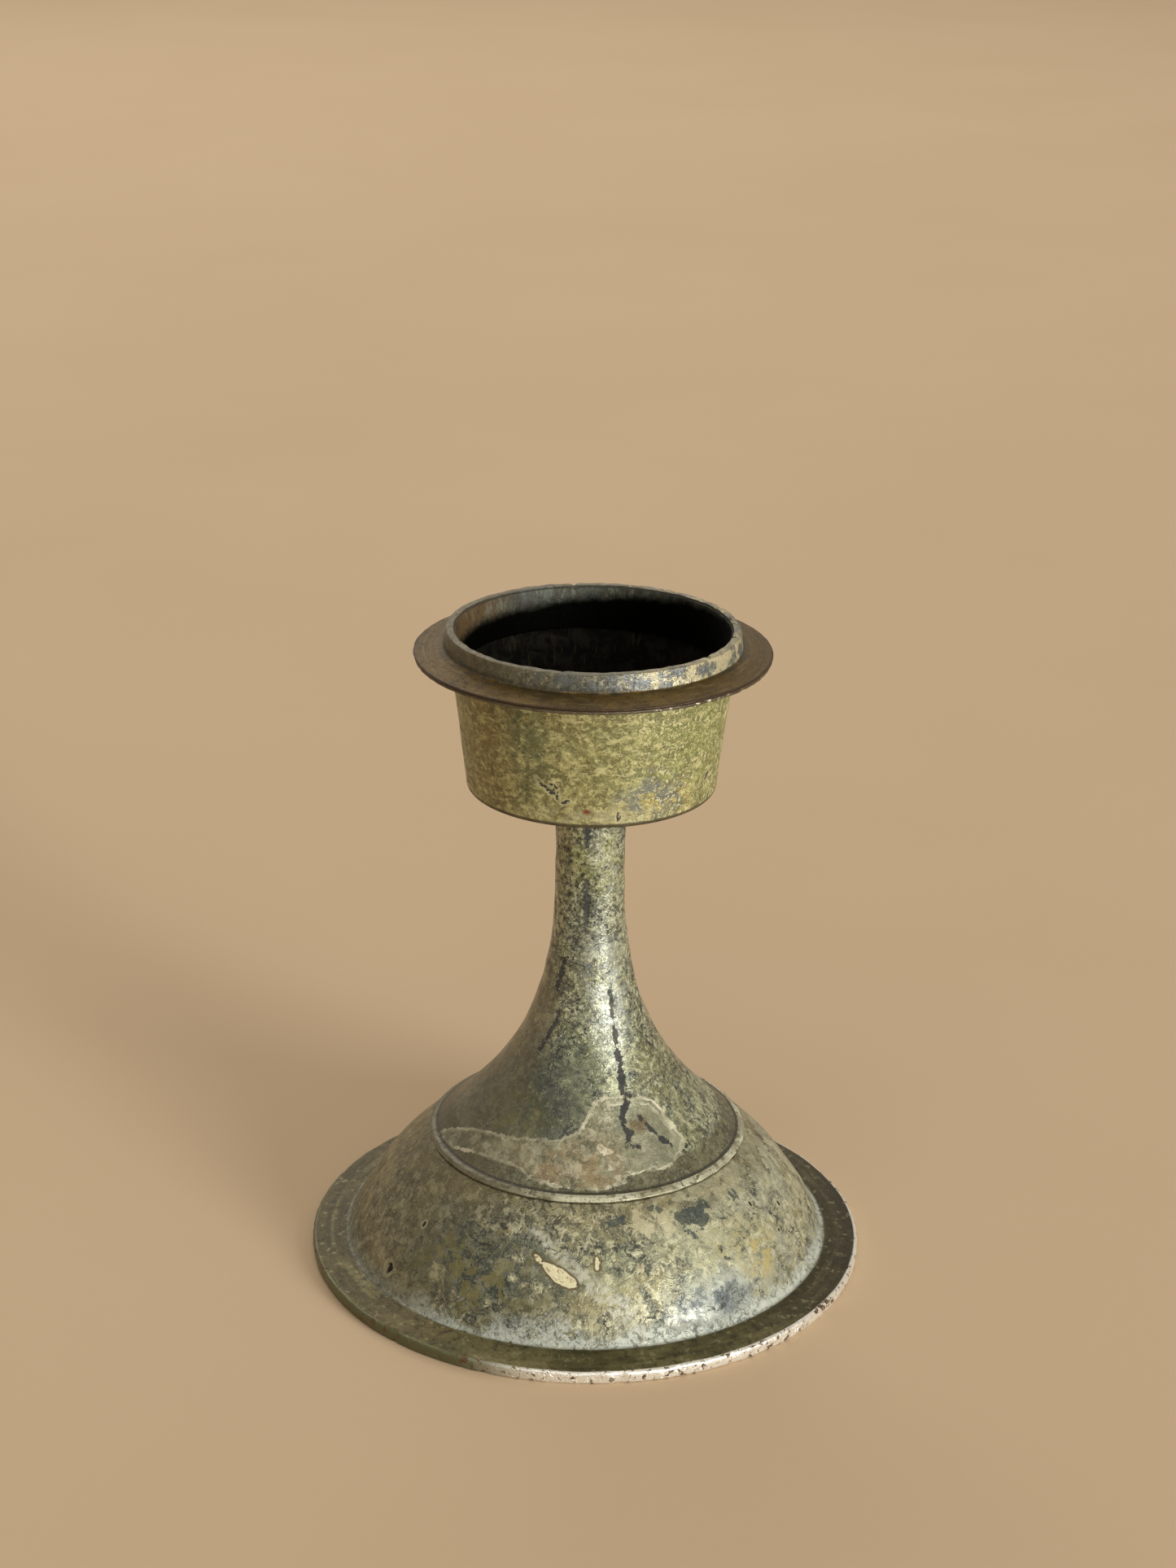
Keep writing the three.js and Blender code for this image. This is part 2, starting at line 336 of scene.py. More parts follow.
class Field:
    """A number that varies over the surface, with the usual arithmetic."""

    def __init__(self, finish, socket):
        self.finish = finish
        self.socket = socket

    def __add__(self, other):
        return self.finish.math("ADD", self, other)

    def __sub__(self, other):
        return self.finish.math("SUBTRACT", self, other)

    def __mul__(self, other):
        return self.finish.math("MULTIPLY", self, other)

    def __truediv__(self, other):
        return self.finish.math("DIVIDE", self, other)

    def __pow__(self, other):
        return self.finish.math("POWER", self, other)

    def __abs__(self):
        return self.finish.math("ABSOLUTE", self)

    def step(self, low, high):
        """0 below low, 1 above high, smooth between; low over high turns it round."""
        node = self.finish.add("ShaderNodeMapRange", interpolation_type="SMOOTHSTEP", clamp=True)
        self.finish.join(node.inputs["Value"], self)
        flip = low > high
        node.inputs["From Min"].default_value = min(low, high)
        node.inputs["From Max"].default_value = max(low, high)
        node.inputs["To Min"].default_value = 1.0 if flip else 0.0
        node.inputs["To Max"].default_value = 0.0 if flip else 1.0
        return Field(self.finish, node.outputs["Result"])

    def band(self, low, high, soft):
        """1 from low to high, fading to 0 over soft on both sides."""
        return self.step(low - soft, low) * self.step(high + soft, high)


class Coat:
    """A colour built up in layers, each painted over the ones before."""

    def __init__(self, finish, first):
        self.finish = finish
        self.socket = first.socket if isinstance(first, Coat) else first

    def paint(self, paint, amount):
        """Covers this coat with paint, a colour or another coat, as far as amount goes from 0 to 1."""
        node = self.finish.add("ShaderNodeMix", data_type="RGBA")
        self.finish.join(node.inputs[0], amount)
        self.finish.join(node.inputs[6], self.socket)
        self.finish.join(node.inputs[7], paint)
        self.socket = node.outputs[2]

    def spots(self, radius_at, blot, spots):
        """Paints spots, and the painted highlights and shade that are listed with them: (bearing, height,
        width, tall, spread, strength, paint).
        """
        for bearing, height, width, tall, spread, strength, paint in spots:
            inside = self.finish.facing(bearing, height, radius_at(height), width, tall, 0.6)
            self.paint(paint, inside * blot.step(*spread) * strength)


# How far noise is drawn out round the axis where it stands for turning marks.
RING_SPREAD = 7.0


class Finish:
    """One procedural material, with short calls for its nodes. Its lengths are millimetres."""

    def __init__(self, name):
        self.material = bpy.data.materials.new(name)
        self.material.use_nodes = True
        self.tree = self.material.node_tree
        self.surface = self.tree.nodes["Principled BSDF"]
        coordinates = self.add("ShaderNodeTexCoord")
        scaled = self.add("ShaderNodeVectorMath", operation="SCALE")
        self.join(scaled.inputs[0], coordinates.outputs["Object"])
        scaled.inputs["Scale"].default_value = 1 / MM
        self.place = scaled.outputs[0]
        split = self.add("ShaderNodeSeparateXYZ")
        self.join(split.inputs[0], self.place)
        self.across, self.depth, self.height = (Field(self, socket) for socket in split.outputs)
        self.radius = self.math("SQRT", self.across**2 + self.depth**2)
        self.side = self.across / self.math("MAXIMUM", self.radius, 0.1)

    def add(self, kind, **settings):
        node = self.tree.nodes.new(kind)
        for key, value in settings.items():
            setattr(node, key, value)
        return node

    def join(self, socket, value):
        """Feeds a socket from a field, a coat or another socket, or sets it to a number or a colour."""
        if isinstance(value, (Field, Coat)):
            value = value.socket
        if isinstance(value, bpy.types.NodeSocket):
            self.tree.links.new(value, socket)
        else:
            socket.default_value = colour(*value) if isinstance(value, tuple) else value

    def math(self, operation, a, b=0.0):
        node = self.add("ShaderNodeMath", operation=operation)
        self.join(node.inputs[0], a)
        self.join(node.inputs[1], b)
        return Field(self, node.outputs[0])

    def most(self, a, b):
        return self.math("MAXIMUM", a, b)

    def between(self, factor, a, b):
        """Number a where factor is 0, and b where it is 1."""
        node = self.add("ShaderNodeMix", data_type="FLOAT")
        for socket, value in zip(node.inputs[0:1] + node.inputs[2:4], (factor, a, b)):
            self.join(socket, value)
        return Field(self, node.outputs[0])

    def coat(self, first, second, amount):
        """A colour that goes from first to second as amount goes from 0 to 1."""
        coat = Coat(self, first)
        coat.paint(second, amount)
        return coat

    def mark(self, name):
        """A number that the mesh stores for each of its points."""
        return Field(self, self.add("ShaderNodeAttribute", attribute_name=name).outputs["Fac"])

    def stretched(self, sideways, upwards):
        """The place, for noise whose features are drawn out by those factors."""
        node = self.add("ShaderNodeVectorMath", operation="MULTIPLY")
        self.join(node.inputs[0], self.place)
        node.inputs[1].default_value = (1 / sideways, 1 / sideways, 1 / upwards)
        return node.outputs[0]

    def texture(self, kind, at, size, shift, **settings):
        """A noise or cell texture with features about size across; shift picks which one."""
        node = self.add(kind, **settings)
        self.join(node.inputs["Vector"], at)
        node.inputs["W"].default_value = shift
        node.inputs["Scale"].default_value = 1 / size
        return node

    def noise(self, size, seed, detail=3.0, rough=0.55, warp=0.0, at=None):
        """Noise from about 0.2 to 0.8."""
        at = self.place if at is None else at
        node = self.texture("ShaderNodeTexNoise", at, size, seed * 3.7, noise_dimensions="4D")
        node.inputs["Detail"].default_value = detail
        node.inputs["Roughness"].default_value = rough
        node.inputs["Distortion"].default_value = warp
        return Field(self, node.outputs["Fac"])

    def warped(self, at, size, amount, seed):
        """The place at, pushed about by up to amount, so that what is drawn there has ragged edges."""
        noise = self.texture("ShaderNodeTexNoise", at, size, seed * 2.3, noise_dimensions="4D")
        push = self.add("ShaderNodeVectorMath", operation="MULTIPLY_ADD")
        self.join(push.inputs[0], noise.outputs["Color"])
        push.inputs[1].default_value = (2 * amount,) * 3
        push.inputs[2].default_value = (-amount,) * 3
        moved = self.add("ShaderNodeVectorMath", operation="ADD")
        self.join(moved.inputs[0], at)
        self.join(moved.inputs[1], push.outputs[0])
        return moved.outputs[0]

    def cells(self, size, seed, at):
        """Two random numbers for each cell of a pattern of cells."""
        node = self.texture("ShaderNodeTexVoronoi", at, size, seed * 5.3, voronoi_dimensions="4D")
        split = self.add("ShaderNodeSeparateColor")
        self.join(split.inputs[0], node.outputs["Color"])
        return Field(self, split.outputs[0]), Field(self, split.outputs[1])

    def seams(self, size, seed, at):
        """Distance from the nearest border between cells, in cell sizes."""
        edges = {"feature": "DISTANCE_TO_EDGE", "voronoi_dimensions": "4D"}
        node = self.texture("ShaderNodeTexVoronoi", at, size, seed * 5.3, **edges)
        return Field(self, node.outputs["Distance"])

    def rings(self, size, seed):
        """Noise drawn out round the axis, like marks left by turning."""
        node = self.add("ShaderNodeCombineXYZ")
        self.join(node.inputs[0], self.radius)
        self.join(node.inputs[1], self.side * (RING_SPREAD * size))
        self.join(node.inputs[2], self.height)
        return self.noise(size, seed, detail=4, rough=0.6, at=node.outputs[0])

    def facing(self, bearing, height, radius, width, tall, soft):
        """1 inside a patch at a bearing and height, width by tall, with a soft edge."""
        turn = math.radians(bearing)
        x, y = float(radius * math.sin(turn)), float(-radius * math.cos(turn))
        aside = (self.across - x) * (math.cos(turn) * 2 / width)
        aside = aside + (self.depth - y) * (math.sin(turn) * 2 / width)
        outward = self.across * math.sin(turn) + self.depth * -math.cos(turn)
        above = (self.height - height) * (2 / tall)
        apart = self.math("SQRT", aside**2 + above**2)
        return apart.step(1 + soft, 1 - soft) * outward.step(0, 1)

    def finish(self, base, rough, metal, bump_height, specular=0.5):
        """Connects colour, roughness and metalness, and a bump whose height is in millimetres."""
        self.join(self.surface.inputs["Base Color"], base)
        self.join(self.surface.inputs["Roughness"], rough)
        self.join(self.surface.inputs["Metallic"], metal)
        self.surface.inputs["Specular IOR Level"].default_value = specular
        bump = self.add("ShaderNodeBump")
        bump.inputs["Strength"].default_value = 1.0
        bump.inputs["Distance"].default_value = MM
        self.join(bump.inputs["Height"], bump_height)
        self.join(self.surface.inputs["Normal"], bump.outputs[0])
        return self.material


# How much of a spot its paint covers, as the range of blot noise over which it fades in. The first
# three cover the places where the noise is high, and the last two the places where it is low.
DENSE = (0.38, 0.47)
RAGGED = (0.43, 0.52)
SPARSE = (0.5, 0.555)
SOFT = (0.62, 0.4)
LOW_RAGGED = (0.52, 0.46)


Tones = namedtuple("Tones", "base light pale cool warm dark pit")


def patina(f, tones, seed, patch, calm=0.0, scribble=0.8):
    """The aged skin that the turned pieces share: (colour, dark share, bump height).

    tones are its colours, and patch is the size of its patches. Where calm is 1 it is smoother.
    scribble is how dark its fine strokes are.
    """
    ragged = f.warped(f.place, 0.6 * patch, 0.45 * patch, seed)
    frayed = f.warped(ragged, 0.13 * patch, 0.13 * patch, seed + 1)
    cloud = f.noise(2.6 * patch, seed + 2, detail=3, at=ragged)
    veil = f.noise(1.2 * patch, seed + 3, detail=6, rough=0.66, at=ragged)
    film = f.noise(0.9 * patch, seed + 4, detail=6, rough=0.68, at=frayed)
    flake, flake_tone = f.cells(0.55 * patch, seed + 5, at=frayed)
    chip, chip_tone = f.cells(0.24 * patch, seed + 6, at=frayed)
    fleck = f.noise(0.32 * patch, seed + 7, detail=5, rough=0.7)
    grain = f.noise(0.1 * patch, seed + 8, detail=3, rough=0.6)
    seams = f.seams(0.4 * patch, seed + 9, at=frayed)
    worms = f.noise(0.36 * patch, seed + 10, detail=3, rough=0.6, warp=1.8)
    busy = f.between(calm, 1.0, 0.7)

    tone = f.coat(tones.base, tones.light, cloud.step(0.38, 0.6))
    tone.paint(tones.cool, veil.step(0.48, 0.6) * 0.7)
    warm = (cloud + flake * 0.1).step(0.5, 0.44) * film.step(0.42, 0.52)
    tone.paint(tones.warm, warm * 0.6)
    dark = (film + flake_tone * 0.1).step(0.57, 0.63) * busy * 0.85
    tone.paint(tones.dark, dark)
    tone.paint(tones.light, flake.step(0.84, 0.88) * busy * 0.5)
    tone.paint(tones.dark, flake_tone.step(0.14, 0.1) * busy * 0.45)
    tone.paint(tones.pale, chip.step(0.74, 0.9) * busy * 0.55)
    tone.paint(tones.dark, chip_tone.step(0.26, 0.1) * busy * 0.65)
    tone.paint(tones.pale, fleck.step(0.53, 0.59) * busy * 0.85)
    tone.paint(tones.dark, fleck.step(0.46, 0.4) * busy * 0.88)
    tone.paint(tones.pale, worms.band(0.495, 0.51, 0.012) * busy * 0.6)
    tone.paint(tones.dark, worms.band(0.462, 0.48, 0.01) * busy * 0.6)
    drawn = seams.step(0.08, 0.03) * veil.step(0.47, 0.52) * chip.step(0.3, 0.35)
    drawn = drawn * busy * scribble
    tone.paint(tones.pit, drawn)
    tone.paint(tones.pale, grain.step(0.56, 0.74) * 0.45)
    tone.paint(tones.dark, grain.step(0.44, 0.26) * 0.5)
    height = (
        film * -0.16
        + flake_tone * 0.02
        + chip_tone * 0.02
        + fleck * 0.15
        + drawn * -0.05
        + grain * 0.04
    )
    return (tone, dark, height * busy)


# ------------------------------------------------------------------ foot

# Marks are strokes of (bearing, height, half width), here and for the other pieces.
LEAF = [(-14.2, 16.9, 0.25), (-12.8, 16.3, 0.45), (-11.2, 15.7, 0.3), (-9.6, 15.2, 0.8)]
LEAF += [(-6.5, 14.2, 1.3), (-3.6, 13.3, 1.0), (-2.2, 12.9, 0.4)]
SLIVER = [(3.2, 17.0, 0.15), (3.6, 16.2, 0.45), (3.4, 15.3, 0.3)]
CRESCENT = [(-29.5, 4.0, 0.1), (-28, 3.5, 0.25), (-26.5, 3.6, 0.1)]
# Small holes: (bearing, height, width). The first is cut in the mesh.
PITS = [(-55.8, 6.7, 1.5), (-51.2, 15.7, 0.7), (70, 15.1, 0.7), (58.2, 18.2, 0.6), (63, 12.4, 0.5)]
# Slate-coloured flakes, pale flakes beside them, and fine dark scribbles.
FLAKES = [
    [(8.5, 21.5, 0.8), (12.5, 21.8, 0.9)], [(22, 22.4, 0.4), (24, 22.5, 0.4)],
    [(32, 20.8, 1.3), (37, 20.2, 2.0), (40, 21.2, 1.2)], [(31, 18.6, 0.6), (33, 17.8, 0.4)],
    [(53, 21.2, 0.6), (54, 20.0, 0.7)],
]
PALE_FLAKES = [[(16.5, 21.6, 1.3), (19, 20.4, 1.6)], [(25.5, 21.4, 1.2), (27, 19.6, 1.3)]]
SCRIBBLES = [
    [(-3, 18.9, 0.1), (1, 17.6, 0.25), (5, 17.3, 0.1)],
    [(3, 19.6, 0.1), (4, 18.1, 0.2), (7, 17.5, 0.1)],
    [(9, 18.7, 0.1), (13, 17.6, 0.25), (17, 18.5, 0.1)],
    [(11, 17.0, 0.1), (15, 16.4, 0.25), (20, 17.0, 0.1)],
    [(17, 19.4, 0.1), (20, 18.0, 0.2), (24, 17.7, 0.1)],
    [(-29, 20.6, 0.1), (-25, 19.6, 0.3), (-20, 18.9, 0.2), (-14, 18.7, 0.1)],
    [(-36, 17.6, 0.1), (-32, 16.6, 0.25), (-27, 16.8, 0.1)],
    [(39, 9.2, 0.1), (36, 8.0, 0.3), (35, 6.6, 0.1)],
    [(30, 7.4, 0.1), (33, 6.4, 0.25), (38, 6.6, 0.1)],
]
WIPE = [(-16.0, 20.0, 0.2), (-8.0, 17.5, 0.7), (-1.0, 14.5, 0.9), (5.0, 11.5, 1.2), (10.0, 9.0, 1.6)]
FOOT_SLATE = (52, 62, 60)
FOOT_SPOTS = [
    (-26, 12.5, 34, 15, DENSE, 0.65, FOOT_SLATE),
    (-30, 11, 26, 12, SPARSE, 0.5, (126, 118, 64)),
    (42, 8, 24, 9, SOFT, 0.6, (138, 148, 146)),
    (51, 12, 10, 9, LOW_RAGGED, 0.65, (176, 158, 84)),
    (22, 6.5, 28, 8, SOFT, 0.5, (166, 172, 164)),
    (32, 7.5, 14, 8, RAGGED, 0.8, (76, 86, 90)),
    (3, 9, 26, 7, SOFT, 0.5, (176, 168, 122)),
    (20, 15, 30, 10, SOFT, 0.4, (160, 162, 128)),
]


def dome_radius(height):
    """Radius of the dome's outside."""
    dome = np.array(arc(DOME_FOOT, DOME_TOP, DOME_RISE, 30))
    return float(np.interp(height, dome[:, 1], dome[:, 0]))


def foot():
    """The domed foot, open underneath, with dents, a chipped edge, one hole and a crescent nick."""
    inside_top = (DOME_TOP[0] - DOME_WALL, LAND_UNDERSIDE)
    inside = arc((RIM_INNER_R - 0.7, 1.2), inside_top, DOME_RISE, 18)
    corners = [
        (RIM_INNER_R, FOOT_LOW, 0.3),
        (FOOT_R, FOOT_LOW, 0.75),
        (FOOT_R, BRIM_EDGE, 0.55),
        (DOME_FOOT[0] + 0.05, DOME_FOOT[1] + 0.02, 0.7),
        *arc(DOME_FOOT, DOME_TOP, DOME_RISE, 42)[1:-1],
        (DOME_TOP[0], DOME_TOP[1], 0.5),
        (FOOT_OPENING, FOOT_TOP, 0.3),
        (FOOT_OPENING, LAND_UNDERSIDE, 0.3),
        *reversed(inside),
    ]
    outline = refined(rounded(corners), 0.8)
    chips = [(-41, 0.7, 0.25), (-20, 0.5, 0.2), (7, 0.9, 0.3)]
    chips += [(31, 0.6, 0.22), (58, 0.8, 0.2), (140, 0.9, 0.3)]

    def worn(points, radius, height, bearing):
        mid_wall = np.interp(height, [FOOT_LOW, FOOT_TOP], [RIM_INNER_R - 0.5, DOME_TOP[0] - 1.8])
        outside = within(radius - mid_wall, 0, 0.6)
        edge = within(radius, FOOT_R - 0.8, FOOT_R - 0.1)
        dent = 0.14 * ripple(points, 17, 11) + 0.05 * ripple(points, 6, 12)
        inward = -outside * (0.06 + 0.9 * np.abs(dent)) * within(height, 2.6, 6)
        crescent = gap_to(points, [CRESCENT], dome_radius)
        inward = inward - outside * 0.5 * within(-crescent, -0.8, 0.1)
        bearing_at, height_at, width = PITS[0]
        hole = gap_to(points, [[(bearing_at, height_at, width / 2)] * 2], dome_radius)
        inward = inward - outside * (0.9 * within(-hole, -0.4, 0.1) - 0.12 * within(-hole, -1.4, -0.7))
        chipped = notches(bearing, radius, chips) + 0.09 * rubbed(points, 2.4, 13) / 2
        dr = inward - edge * chipped
        dz = -edge * within(height, 1.2, 2.3) * (chipped * 0.6 + 0.05 * rubbed(points, 9, 14))
        brim = within(radius, DOME_FOOT[0] + 0.75, DOME_FOOT[0] + 1.95) * within(height, 1.5, 2.2)
        return dr, dz - brim * 0.06 * rubbed(points, 11, 15)

    piece = turned("foot_shell", outline, 420, worn)
    record_gaps(piece, dome_radius, leaf=[LEAF, SLIVER], wipe=[WIPE], scribbles=SCRIBBLES)
    record_gaps(piece, dome_radius, flakes=FLAKES, pale_flakes=PALE_FLAKES)
    piece.data.materials.append(foot_finish())
    return piece


def foot_finish():
    """Patina on the dome, a browner brim, a frosty crust where they meet, and the foot's marks, with painted
    light and shade: a paler right, a darker left, darker brim sides, a painted highlight on the worn edge
    and painted shade in the holes.
    """
    f = Finish("foot_patina")
    tones = Tones(
        base=(104, 97, 66), light=(150, 145, 108), pale=(194, 192, 160), cool=(108, 118, 104),
        warm=(132, 120, 64), dark=(46, 54, 50), pit=(38, 40, 34),
    )
    left = f.side.step(-0.35, -0.8)
    right = f.side.step(0.1, 0.75)
    tone, dark, height = patina(f, tones, seed=1, patch=5.5, calm=left, scribble=1.0)
    blot = f.noise(3.4, 30, detail=6, rough=0.66, at=f.warped(f.place, 2.5, 1.6, 31))

    # Painted light and shade: the dome's left side is painted a darker brown and its right side a paler
    # grey.
    tone.paint((100, 89, 64), left * 0.45)
    tone.paint((168, 168, 144), right * blot.step(*SOFT) * 0.6)
    tone.paint((112, 103, 72), f.height.step(18, 23) * 0.4)
    tone.spots(dome_radius, blot, FOOT_SPOTS)
    shard, _ = f.cells(1.1, 34, at=f.warped(f.place, 0.9, 0.3, 35))
    angular = (shard - 0.5) * 1.5
    flake = (f.mark("flakes") + angular).step(0.12, 0.0)
    pale_flake = (f.mark("pale_flakes") + angular).step(0.12, 0.0)
    tone.paint((182, 176, 144), pale_flake * 0.6)
    tone.paint(FOOT_SLATE, flake * 0.8)
    scribble_gap = f.mark("scribbles") + f.noise(0.9, 38, detail=3, rough=0.7) * 2.4
    tone.paint((40, 44, 40), scribble_gap.step(1.4, 1.15) * 0.8)

    wipe = f.mark("wipe").step(1.2, -0.4) * f.noise(1.1, 32, detail=4).step(0.4, 0.55)
    tone.paint((180, 182, 166), wipe * 0.75)

    brown = f.noise(9, 21, detail=5, rough=0.6)
    brim_tone = f.coat((84, 80, 48), (112, 104, 68), brown.step(0.4, 0.62))
    # Painted shade: the brim is painted darker and browner towards its left and right sides.
    brim_tone.paint((60, 48, 22), f.side.step(-0.3, -0.8) * 0.6)
    brim_tone.paint((42, 34, 18), f.side.step(0.4, 0.9) * 0.75)
    turning = f.rings(1.3, 36)
    brim_tone.paint((134, 128, 90), turning.step(0.5, 0.66) * 0.35)
    brim_tone.paint((44, 42, 28), turning.step(0.47, 0.34) * 0.5)
    grit = f.noise(1.6, 22, detail=6, rough=0.72)
    brim_tone.paint((38, 36, 24), grit.step(0.54, 0.6) * 0.6)
    brim_tone.paint((150, 146, 112), grit.step(0.44, 0.38) * 0.5)
    on_brim = f.radius.step(DOME_FOOT[0] + 0.1, DOME_FOOT[0] + 0.7)
    tone.paint(brim_tone, on_brim)
    joint = f.radius.band(DOME_FOOT[0] + 0.15, DOME_FOOT[0] + 0.55, 0.2)
    tone.paint((48, 46, 34), joint * f.noise(3, 33).step(0.4, 0.55) * 0.7)

    wisp = f.noise(1.3, 27, detail=6, rough=0.74, warp=1.0)
    reach = f.noise(12.0, 23, detail=2)
    crust_level = f.height + reach * -11.0 + wisp * -6.0
    crust = crust_level.step(-1.8, -4.4) * f.radius.step(DOME_FOOT[0] + 0.7, DOME_FOOT[0] + 0.2)
    crust = crust * wisp.step(0.36, 0.5) * f.between(f.side.step(-0.5, -0.85), 1.0, 0.35)
    tone.paint((182, 188, 178), crust * 0.72)

    leaf_gap = f.mark("leaf") + f.noise(1.0, 24, detail=3) * -0.5
    tone.paint((92, 80, 50), leaf_gap.band(-0.25, 0.1, 0.12) * 0.8)
    tone.paint((206, 200, 166), leaf_gap.step(-0.15, -0.3))
    speckled = leaf_gap.step(-0.4, -0.6) * f.noise(0.8, 28).step(0.52, 0.58)
    tone.paint((156, 144, 104), speckled)

    for bearing, level, width in PITS:
        rim = f.facing(bearing, level, dome_radius(level), 2.2 * width, 2.2 * width, 0.25)
        tone.paint((170, 166, 134), rim * 0.6)
        # The dark inside each pit and hole is painted shade.
        hole = f.facing(bearing, level, dome_radius(level), width, 1.3 * width, 0.25)
        tone.paint((26, 23, 18), hole)

    edge_noise = f.noise(1.8, 25, detail=5, rough=0.7)
    edge = f.radius.step(FOOT_R - 0.8, FOOT_R - 0.5) * edge_noise.step(0.36, 0.42)
    # Worn bare edge, painted near-white as a painted highlight everywhere but on the left, where it stays
    # dark.
    bare_and_glint = f.coat((104, 106, 78), (238, 236, 226), f.side.step(-0.45, -0.1))
    tone.paint(bare_and_glint, edge)
    tone.paint((104, 84, 62), edge * edge_noise.step(0.55, 0.6))

    rough = f.between(dark, 0.34, 0.44)
    dusty = f.noise(4, 29, detail=3).step(0.45, 0.6) * 0.5
    rough = f.between(f.most(crust, dusty), rough, 0.6)
    rough = f.between(on_brim, rough, 0.42)
    rough = f.between(edge, rough, 0.34)
    metal = f.between(edge, f.between(on_brim, 0.3, 0.6), 0.75)
    bumps = height + crust * 0.1 + leaf_gap.step(-0.1, -0.3) * -0.06
    return f.finish(tone, rough, metal, bumps)


# ------------------------------------------------------------------ stem

# The stain's upper and lower edges, as (bearing, height), and the fine lines inside it.
TIDE = [(-78, 26), (-63, 29), (-49, 30.3), (-38, 30.8), (-25, 31.6), (-15, 32), (-8, 32.8), (-3, 34)]
TIDE += [(1, 35.8), (4, 37.5), (10, 38.6), (21, 38.5), (27, 37.7), (36, 37.8), (43, 36.8), (46, 35)]
TIDE += [(49, 31.2), (50, 29.8)]
LOW_TIDE = [(-78, 25), (-63, 25.8), (-52, 27), (-41, 27.4), (-27, 27.4), (-22, 26.4), (-8, 25.9), (6, 25.7)]
LOW_TIDE += [(15, 26.4), (17, 27.6), (19, 27.3), (25, 27.6), (32, 27.2), (37, 27.4), (44, 28.4), (50, 29.8)]
INNER_TIDES = [
    [(6, 31.4), (12, 30.5), (18, 29.1), (19, 27.3)], [(6, 31.4), (9, 29.4), (12, 27.6), (15, 26.4)],
    [(46, 35), (46, 33.4), (47, 32)],
]
CRACKS = [
    [(26, 46.3, 0.1), (26, 45.2, 0.6), (27, 43.6, 0.2)],
    [(27, 43.6, 0.2), (25.5, 41.4, 0.7), (24, 38.8, 0.3), (28, 38.3, 0.3)],
    [(24, 38.2, 0.1), (25, 37.2, 0.5), (22.4, 36.4, 0.65), (20.5, 35.3, 0.4)],
    [(20, 35.3, 0.45), (20.7, 33.7, 0.25), (22.3, 32.6, 0.55), (20.5, 31.8, 0.1)],
    [(22.3, 33.6, 0.1), (24.4, 32.8, 0.3)],
    [(30, 35.0, 0.1), (34, 33.2, 0.25), (37, 31.6, 0.2), (39, 30.7, 0.6), (41.6, 29.8, 0.2)],
    [(19.6, 31.2, 0.25), (22, 31.0, 0.1), (26, 30.7, 0.25)],
]
OLD_CRACKS = [
    [(28, 56, 0.05), (28, 53, 0.2), (27, 51.5, 0.05)],
    [(27, 49.5, 0.05), (27, 48, 0.2), (26, 47, 0.05)],
    [(-37, 61.5, 0.15), (-40, 59, 0.35), (-42, 56, 0.1)],
    [(-34, 52.5, 0.1), (-35, 50.5, 0.3), (-38, 48.5, 0.2), (-41, 47.2, 0.1)],
    [(-42, 46, 0.15), (-44, 45, 0.25)], [(-8, 94, 0.1), (-4, 89, 0.3), (-6, 85, 0.1)],
    [(-6, 78, 0.1), (-5, 74, 0.3), (-7, 68, 0.1)],
]
STEM_SLATE = (50, 60, 63)
STEM_SPOTS_AND_HIGHLIGHTS = [
    (0, 80, 10, 13, RAGGED, 0.65, (150, 152, 82)),
    (-8, 72, 6, 16, RAGGED, 0.7, STEM_SLATE),
    (2, 88, 3.4, 12, DENSE, 0.75, STEM_SLATE),
    (-22, 38, 12, 16, DENSE, 0.7, STEM_SLATE),
    (-40, 34, 14, 7, SOFT, 0.55, (122, 116, 56)),
    # A painted highlight: a tall pale stripe on the right of the neck.
    (30, 86, 6, 24, SOFT, 0.55, (166, 168, 144)),
    (5, 93, 10, 4, LOW_RAGGED, 0.6, (176, 178, 158)),
    (48, 36, 22, 18, SOFT, 0.5, (120, 116, 72)),
    (8, 42, 12, 14, SOFT, 0.45, (132, 140, 104)),
    # A painted highlight: a pale patch on the flare where the light's reflection falls.
    (24, 57, 8, 24, SOFT, 0.6, (168, 174, 164)),
]


def stem_radius(height):
    """Radius of the stem's outside."""
    return float(flare_radius(height, NECK_R, FLARE_MOUTH))


